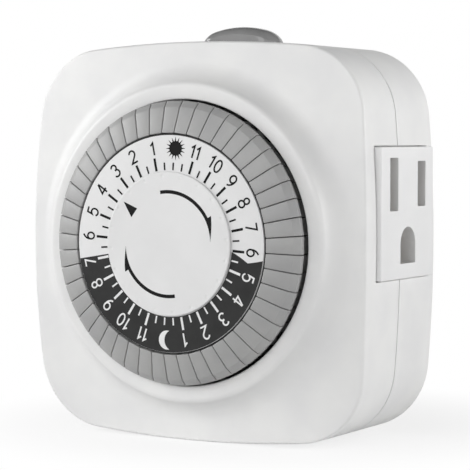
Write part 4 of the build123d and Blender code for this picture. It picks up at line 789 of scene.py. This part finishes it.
def surface(material, inputs):
    """Ends a material in one Principled shader."""
    shader = add_node(material, "BsdfPrincipled", inputs)
    add_node(material, "OutputMaterial", {"Surface": shader.outputs[0]})
    return material


def moulded(name, shades, roughness, grain, depth, patch=11.0, ior=1.5, **extra):
    """Moulded plastic: soft patches of two close shades, and the mould's grain in its roughness and bump.

    Patches, grain and its depth are in millimetres.
    """
    material, place = node_material(name)
    dark, light = (linear(shade) for shade in shades)
    patches = add_node(material, "TexNoise", {"Vector": place, "Scale": 1000 / patch, "Detail": 3.0})
    spread = add_node(material, "MapRange", {"Value": patches.outputs[0], "From Min": 0.35, "From Max": 0.65})
    colour = add_node(material, "Mix", {0: spread.outputs[0], 6: dark, 7: light}, data_type="RGBA")
    pits = add_node(material, "TexNoise", {"Vector": place, "Scale": 1000 / grain, "Detail": 2.0})
    levels = {"To Min": roughness - 0.07, "To Max": roughness + 0.07}
    rough = add_node(material, "MapRange", {"Value": pits.outputs[0], **levels})
    bump = add_node(material, "Bump", {"Height": pits.outputs[0], "Strength": 1.0, "Distance": depth * 0.001})
    inputs = {"Base Color": colour.outputs[2], "Roughness": rough.outputs[0], "Normal": bump.outputs[0]}
    return surface(material, inputs | {"IOR": ior} | extra)


def metal(name, shades, roughness, grain, depth, drawn=(1.0, 1.0, 1.0), cloud=4.0):
    """Metal: cloudy shades, and a fine grain that the Mapping node draws out along the working direction.

    Grain, its depth and the clouds are in millimetres; drawn squeezes the grain's space along each axis.
    """
    material, place = node_material(name)
    dark, light = (linear(shade) for shade in shades)
    clouds = add_node(material, "TexNoise", {"Vector": place, "Scale": 1000 / cloud, "Detail": 4.0})
    colour = add_node(material, "Mix", {0: clouds.outputs[0], 6: dark, 7: light}, data_type="RGBA")
    lines = add_node(material, "Mapping", {"Vector": place, "Scale": drawn}).outputs[0]
    marks = add_node(material, "TexNoise", {"Vector": lines, "Scale": 1000 / grain, "Detail": 3.0}).outputs[0]
    levels = {"To Min": roughness * 0.7, "To Max": roughness * 1.3}
    rough = add_node(material, "MapRange", {"Value": marks, **levels})
    bump = add_node(material, "Bump", {"Height": marks, "Strength": 1.0, "Distance": depth * 0.001})
    inputs = {"Base Color": colour.outputs[2], "Roughness": rough.outputs[0], "Normal": bump.outputs[0]}
    return surface(material, inputs | {"Metallic": 1.0})


def wound_copper(scale=200.0):
    """Enamelled copper: ridges 1.6 mm apart along the coil's axis, like bundles of its wire.

    The wave node's bands are 2 pi / 20 of a unit apart at a scale of 1.
    """
    material, place = node_material("enamelled_copper_winding")
    bands = {"Vector": place, "Scale": scale, "Distortion": 0.4}
    wave = add_node(material, "TexWave", bands, wave_type="BANDS", bands_direction="Y")
    ridge = add_node(material, "Bump", {"Height": wave.outputs[1], "Strength": 1.0, "Distance": 0.00006})
    inputs = {"Base Color": linear("#B4622F"), "Metallic": 1.0, "Roughness": 0.3, "Normal": ridge.outputs[0]}
    return surface(material, inputs)


# Screen-printed inks: matt, with the screen's mesh as a faint tooth. Dry pigment at the surface scatters,
# so that dark inks keep little of a gloss.
dry = {"Specular IOR Level": 0.15}
black_ink = moulded("screen_ink_black", ("#111111", "#171717"), 0.6, 0.25, 0.002, 3.0, **dry)
night_ink = moulded("screen_ink_charcoal", ("#313131", "#373737"), 0.6, 0.25, 0.002, 4.0, **dry)
white_ink = moulded("screen_ink_white", ("#E8E8E8", "#EFEFEF"), 0.5, 0.25, 0.002, 3.0)

# How the working of a metal squeezes the space of its grain along X, Y and Z.
rolled_x, rolled_y, rolled_z = (0.12, 1.0, 1.0), (1.0, 0.2, 1.0), (1.0, 1.0, 0.15)
brushed_y, turned_y, stamped, wire_drawn = (1.0, 0.08, 1.0), (0.2, 3.0, 0.2), (0.3, 1.0, 0.3), (0.4, 0.4, 2.0)

slot_materials = {
    # White ABS from a spark-eroded mould: an even satin. Its grain is drawn too coarse, so that it shows.
    "housing_plastic": moulded("white_abs_spark_eroded", ("#E9E9E9", "#EFEFEE"), 0.42, 0.35, 0.010),
    # The same ABS from a smoother mould, so it shines a little more.
    "outlet_plastic": moulded("white_abs_smooth_mould", ("#EEEEEE", "#F2F2F2"), 0.33, 0.45, 0.006),
    # Glass-filled PBT of the parts inside: off-white, dull, with a coarser flow pattern.
    "inner_plastic": moulded("offwhite_pbt_glass_filled", ("#BDB9AE", "#C9C5BB"), 0.55, 0.5, 0.02, 5.0),
    # Grey polypropylene of the tabs: slightly waxy, from a fine stone-polished mould.
    "tab_plastic": moulded("grey_polypropylene_moulded", ("#A4A4A4", "#ABABAA"), 0.42, 0.3, 0.005, 7.0, 1.49),
    # Black acetal of the dial's drum and comb: deep and low in sheen behind the tabs.
    "dial_plastic": moulded("black_acetal_moulded", ("#161617", "#1D1D1E"), 0.5, 0.4, 0.008, 6.0, 1.48),
    # White polyester with a matt varnish, whose tooth is drawn at 0.2 mm.
    "label_film": moulded("matt_polyester_film", ("#E6E6E6", "#EAEAEA"), 0.5, 0.2, 0.003, 14.0, 1.57),
    # White ABS from a smooth mould, a shade darker than the housing.
    "disc_plastic": moulded("white_abs_pointer_disc", ("#E6E6E6", "#EBEBEB"), 0.4, 0.3, 0.005),
    # Grey ABS from a polished mould: a hard gloss with a faint wave.
    "button_plastic": moulded("grey_abs_polished", ("#8C8C8C", "#939393"), 0.1, 1.6, 0.006, 9.0, 1.54),
    # Natural acetal of the gears: milky and smooth.
    "gear_plastic": moulded("natural_acetal_moulded", ("#DEDCD3", "#E6E4DC"), 0.35, 0.5, 0.008, 5.0, 1.48),
    # Sintered ferrite of the rotor: near black, with a stony tooth.
    "rotor_ferrite": moulded("sintered_ferrite", ("#2C2B2B", "#383636"), 0.62, 0.35, 0.03, 2.5, 1.9),
    # PVC of the motor's leads: soft, slightly glossy.
    "lead_insulation": moulded("soft_pvc_lead", ("#1E1E1F", "#272728"), 0.34, 0.4, 0.01, 4.0, 1.53),
    # Zinc-plated steel: grey with cool clouds from the plating bath.
    "plate_steel": metal("zinc_plated_sheet_steel", ("#A9ADB3", "#C2C5C9"), 0.34, 0.3, 0.004, rolled_z, 6.0),
    "screw_steel": metal("zinc_plated_screw_steel", ("#A4A7AB", "#BFC1C4"), 0.3, 0.25, 0.006, cloud=2.0),
    # Turned steel: the tool's rings, as a grain long round the axis and short along it.
    "arbor_steel": metal("turned_bright_steel", ("#B4B4B2", "#C6C6C4"), 0.22, 0.15, 0.004, turned_y, 3.0),
    # Wire drawn through a die, so bright, with a fine scratch.
    "spring_steel": metal("drawn_spring_wire", ("#8C8E90", "#A5A7A9"), 0.3, 0.2, 0.004, wire_drawn, 1.5),
    # Half-hard brass strip, brushed along the blade, warm and a little tarnished.
    "blade_brass": metal("brushed_plug_brass", ("#C9A85E", "#D9BC78"), 0.26, 0.16, 0.004, brushed_y, 5.0),
    # Stamped brass strip, duller and browner than the blades.
    "bus_brass": metal("stamped_brass_strip", ("#B8964C", "#CBAC66"), 0.34, 0.25, 0.006, stamped, 4.0),
    # Phosphor bronze of the leaf: reddish, rolled to a satin.
    "leaf_bronze": metal("rolled_phosphor_bronze", ("#A9764A", "#BE8A5C"), 0.3, 0.2, 0.004, rolled_x, 4.0),
    # Silver of the contact rivets: pale and soft, upset in a die.
    "contact_silver": metal("silver_contact_rivet", ("#CFCFCB", "#DEDEDA"), 0.28, 0.3, 0.006, cloud=1.0),
    # Tinplate of the motor's can: drawn, with a greyish bloom.
    "motor_steel": metal("drawn_tinplate", ("#B2B3B2", "#C6C7C6"), 0.36, 0.35, 0.006, rolled_y, 7.0),
    "coil_copper": wound_copper(),
}


# ================= Pieces on their bodies =================
def fit(piece, body, slot, *nodes, material=None):
    """Puts a piece on its body, with its slot and the slot's material or an ink, in place of CAD nodes."""
    piece.data.materials.clear()
    piece.data.materials.append(material or slot_materials[slot])
    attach(piece, body)
    if nodes:
        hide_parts(*nodes)


fit(front_skin, "housing", "housing_plastic", "front_shell")
fit(rear_skin, "housing", "housing_plastic", "rear_shell")
fit(posts, "housing", "housing_plastic")
fit(case_screws, "housing", "screw_steel", "housing_screws")
fit(neutral_prong, "housing", "blade_brass", "neutral_blade")
fit(line_prong, "housing", "blade_brass", "line_blade")
fit(ground_prong, "housing", "blade_brass", "ground_pin")
fit(outlet, "housing", "outlet_plastic", "outlet_face")
fit(flange, "housing", "outlet_plastic")
fit(button, "override", "button_plastic", "override_button")
fit(label, "dial", "label_film", "dial_label")
fit(night, "dial", "label_film", material=night_ink)
fit(black_print, "dial", "label_film", material=black_ink)
fit(white_print, "dial", "label_film", material=white_ink)
fit(disc, "housing", "disc_plastic", "pointer_disc")
fit(disc_print, "housing", "disc_plastic", material=black_ink)
for pair, piece in tabs.items():
    fit(piece, f"tabs_{pair:02d}", "tab_plastic", f"tab_pair_{pair:02d}")

for part in frame["record"]["subparts"]:
    mesh = frame["nodes"][part["node"]].data
    mesh.materials.clear()
    mesh.materials.append(slot_materials[part["material_slot"]])


# ================= Floor, light and camera, in metres =================
room_light, white_light = 0.68, 1.0
card_reach, card_height, floor_reach = 1.5, 0.9, 3.0
fade_start, fade_end, white_least = 0.045, 0.085, 0.78
camera_place, camera_down, camera_turn = (0.2085, -0.37315, 0.02035), 2.71, 30.21
camera_lens, camera_sensor, camera_nearest = 151.3, 36.0, 0.01


def soft_light(name, place, size, power):
    """Square lamp that faces the object's middle."""
    lamp = bpy.data.lights.new(name, "AREA")
    lamp.energy, lamp.size = power, size
    light = add_object(name, lamp)
    light.location = place
    aim = Vector((0.0, -0.02, 0.0)) - Vector(place)
    light.rotation_euler = aim.to_track_quat("-Z", "Y").to_euler()


soft_light("key_left", (-1.1, -0.5, 0.4), 0.6, 6.3)
soft_light("front_upper", (-0.1, -1.2, 0.5), 0.9, 5.4)
soft_light("fill_right", (1.05, 0.35, 0.15), 0.7, 7.8)

# Grey room round the object that the camera and reflections see as white.
world = bpy.data.worlds.new("studio")
world.use_nodes = True
world.node_tree.nodes.clear()
rays = add_node(world, "LightPath").outputs
seen = add_node(world, "Math", {0: rays["Is Camera Ray"], 1: rays["Is Glossy Ray"]}, operation="MAXIMUM")
room = add_node(world, "MapRange", {"Value": seen.outputs[0], "To Min": room_light, "To Max": white_light})
light_of_room = add_node(world, "Background", {"Color": (1, 1, 1, 1), "Strength": room.outputs[0]})
add_node(world, "OutputWorld", {"Surface": light_of_room.outputs[0]})
bpy.context.scene.world = world


def level_sheet(name, reach, height):
    """Square sheet of the studio at a height."""
    mesh = bpy.data.meshes.new(name)
    corners = [(x * reach, y * reach, height) for x, y in ((-1, -1), (1, -1), (1, 1), (-1, 1))]
    mesh.from_pydata(corners, [], [(0, 1, 2, 3)])
    sheet = add_object(name, mesh)
    return sheet


# Dark card overhead: it keeps the room's light off the top faces and gives the button's dome a dark rim.
card = level_sheet("ceiling_card", card_reach, card_height)
card.visible_camera = False
card_paint, _ = node_material("black_foam_board")
card.data.materials.append(surface(card_paint, {"Base Color": linear("#303030"), "Roughness": 0.9}))

# Paper floor: it takes the object's shadow and runs out into white further away.
floor = level_sheet("floor", floor_reach, -half_height * 0.001)
paper, paper_place = node_material("white_paper_sweep")
away = add_node(paper, "VectorMath", {0: paper_place}, operation="LENGTH").outputs["Value"]
reaches = {"From Min": fade_start, "From Max": fade_end, "To Min": white_least, "To Max": 1.0}
fade = add_node(paper, "MapRange", {"Value": away, **reaches}, interpolation_type="SMOOTHSTEP")
to_camera = add_node(paper, "LightPath").outputs["Is Camera Ray"]
share = add_node(paper, "Math", {0: fade.outputs[0], 1: to_camera}, operation="MULTIPLY")
matt = add_node(paper, "BsdfDiffuse", {"Color": linear("#F4F4F4")})
white = add_node(paper, "Emission", {"Color": (1, 1, 1, 1), "Strength": 1.0})
both = add_node(paper, "MixShader", {0: share.outputs[0], 1: matt.outputs[0], 2: white.outputs[0]})
add_node(paper, "OutputMaterial", {"Surface": both.outputs[0]})
floor.data.materials.append(paper)

camera = add_object("camera", bpy.data.cameras.new("camera"))
camera.location = camera_place
camera.rotation_euler = (math.radians(90 - camera_down), 0.0, math.radians(camera_turn))
camera.data.lens, camera.data.sensor_width = camera_lens, camera_sensor
camera.data.clip_start = camera_nearest
bpy.context.scene.camera = camera
bpy.context.scene.view_settings.view_transform = "Standard"
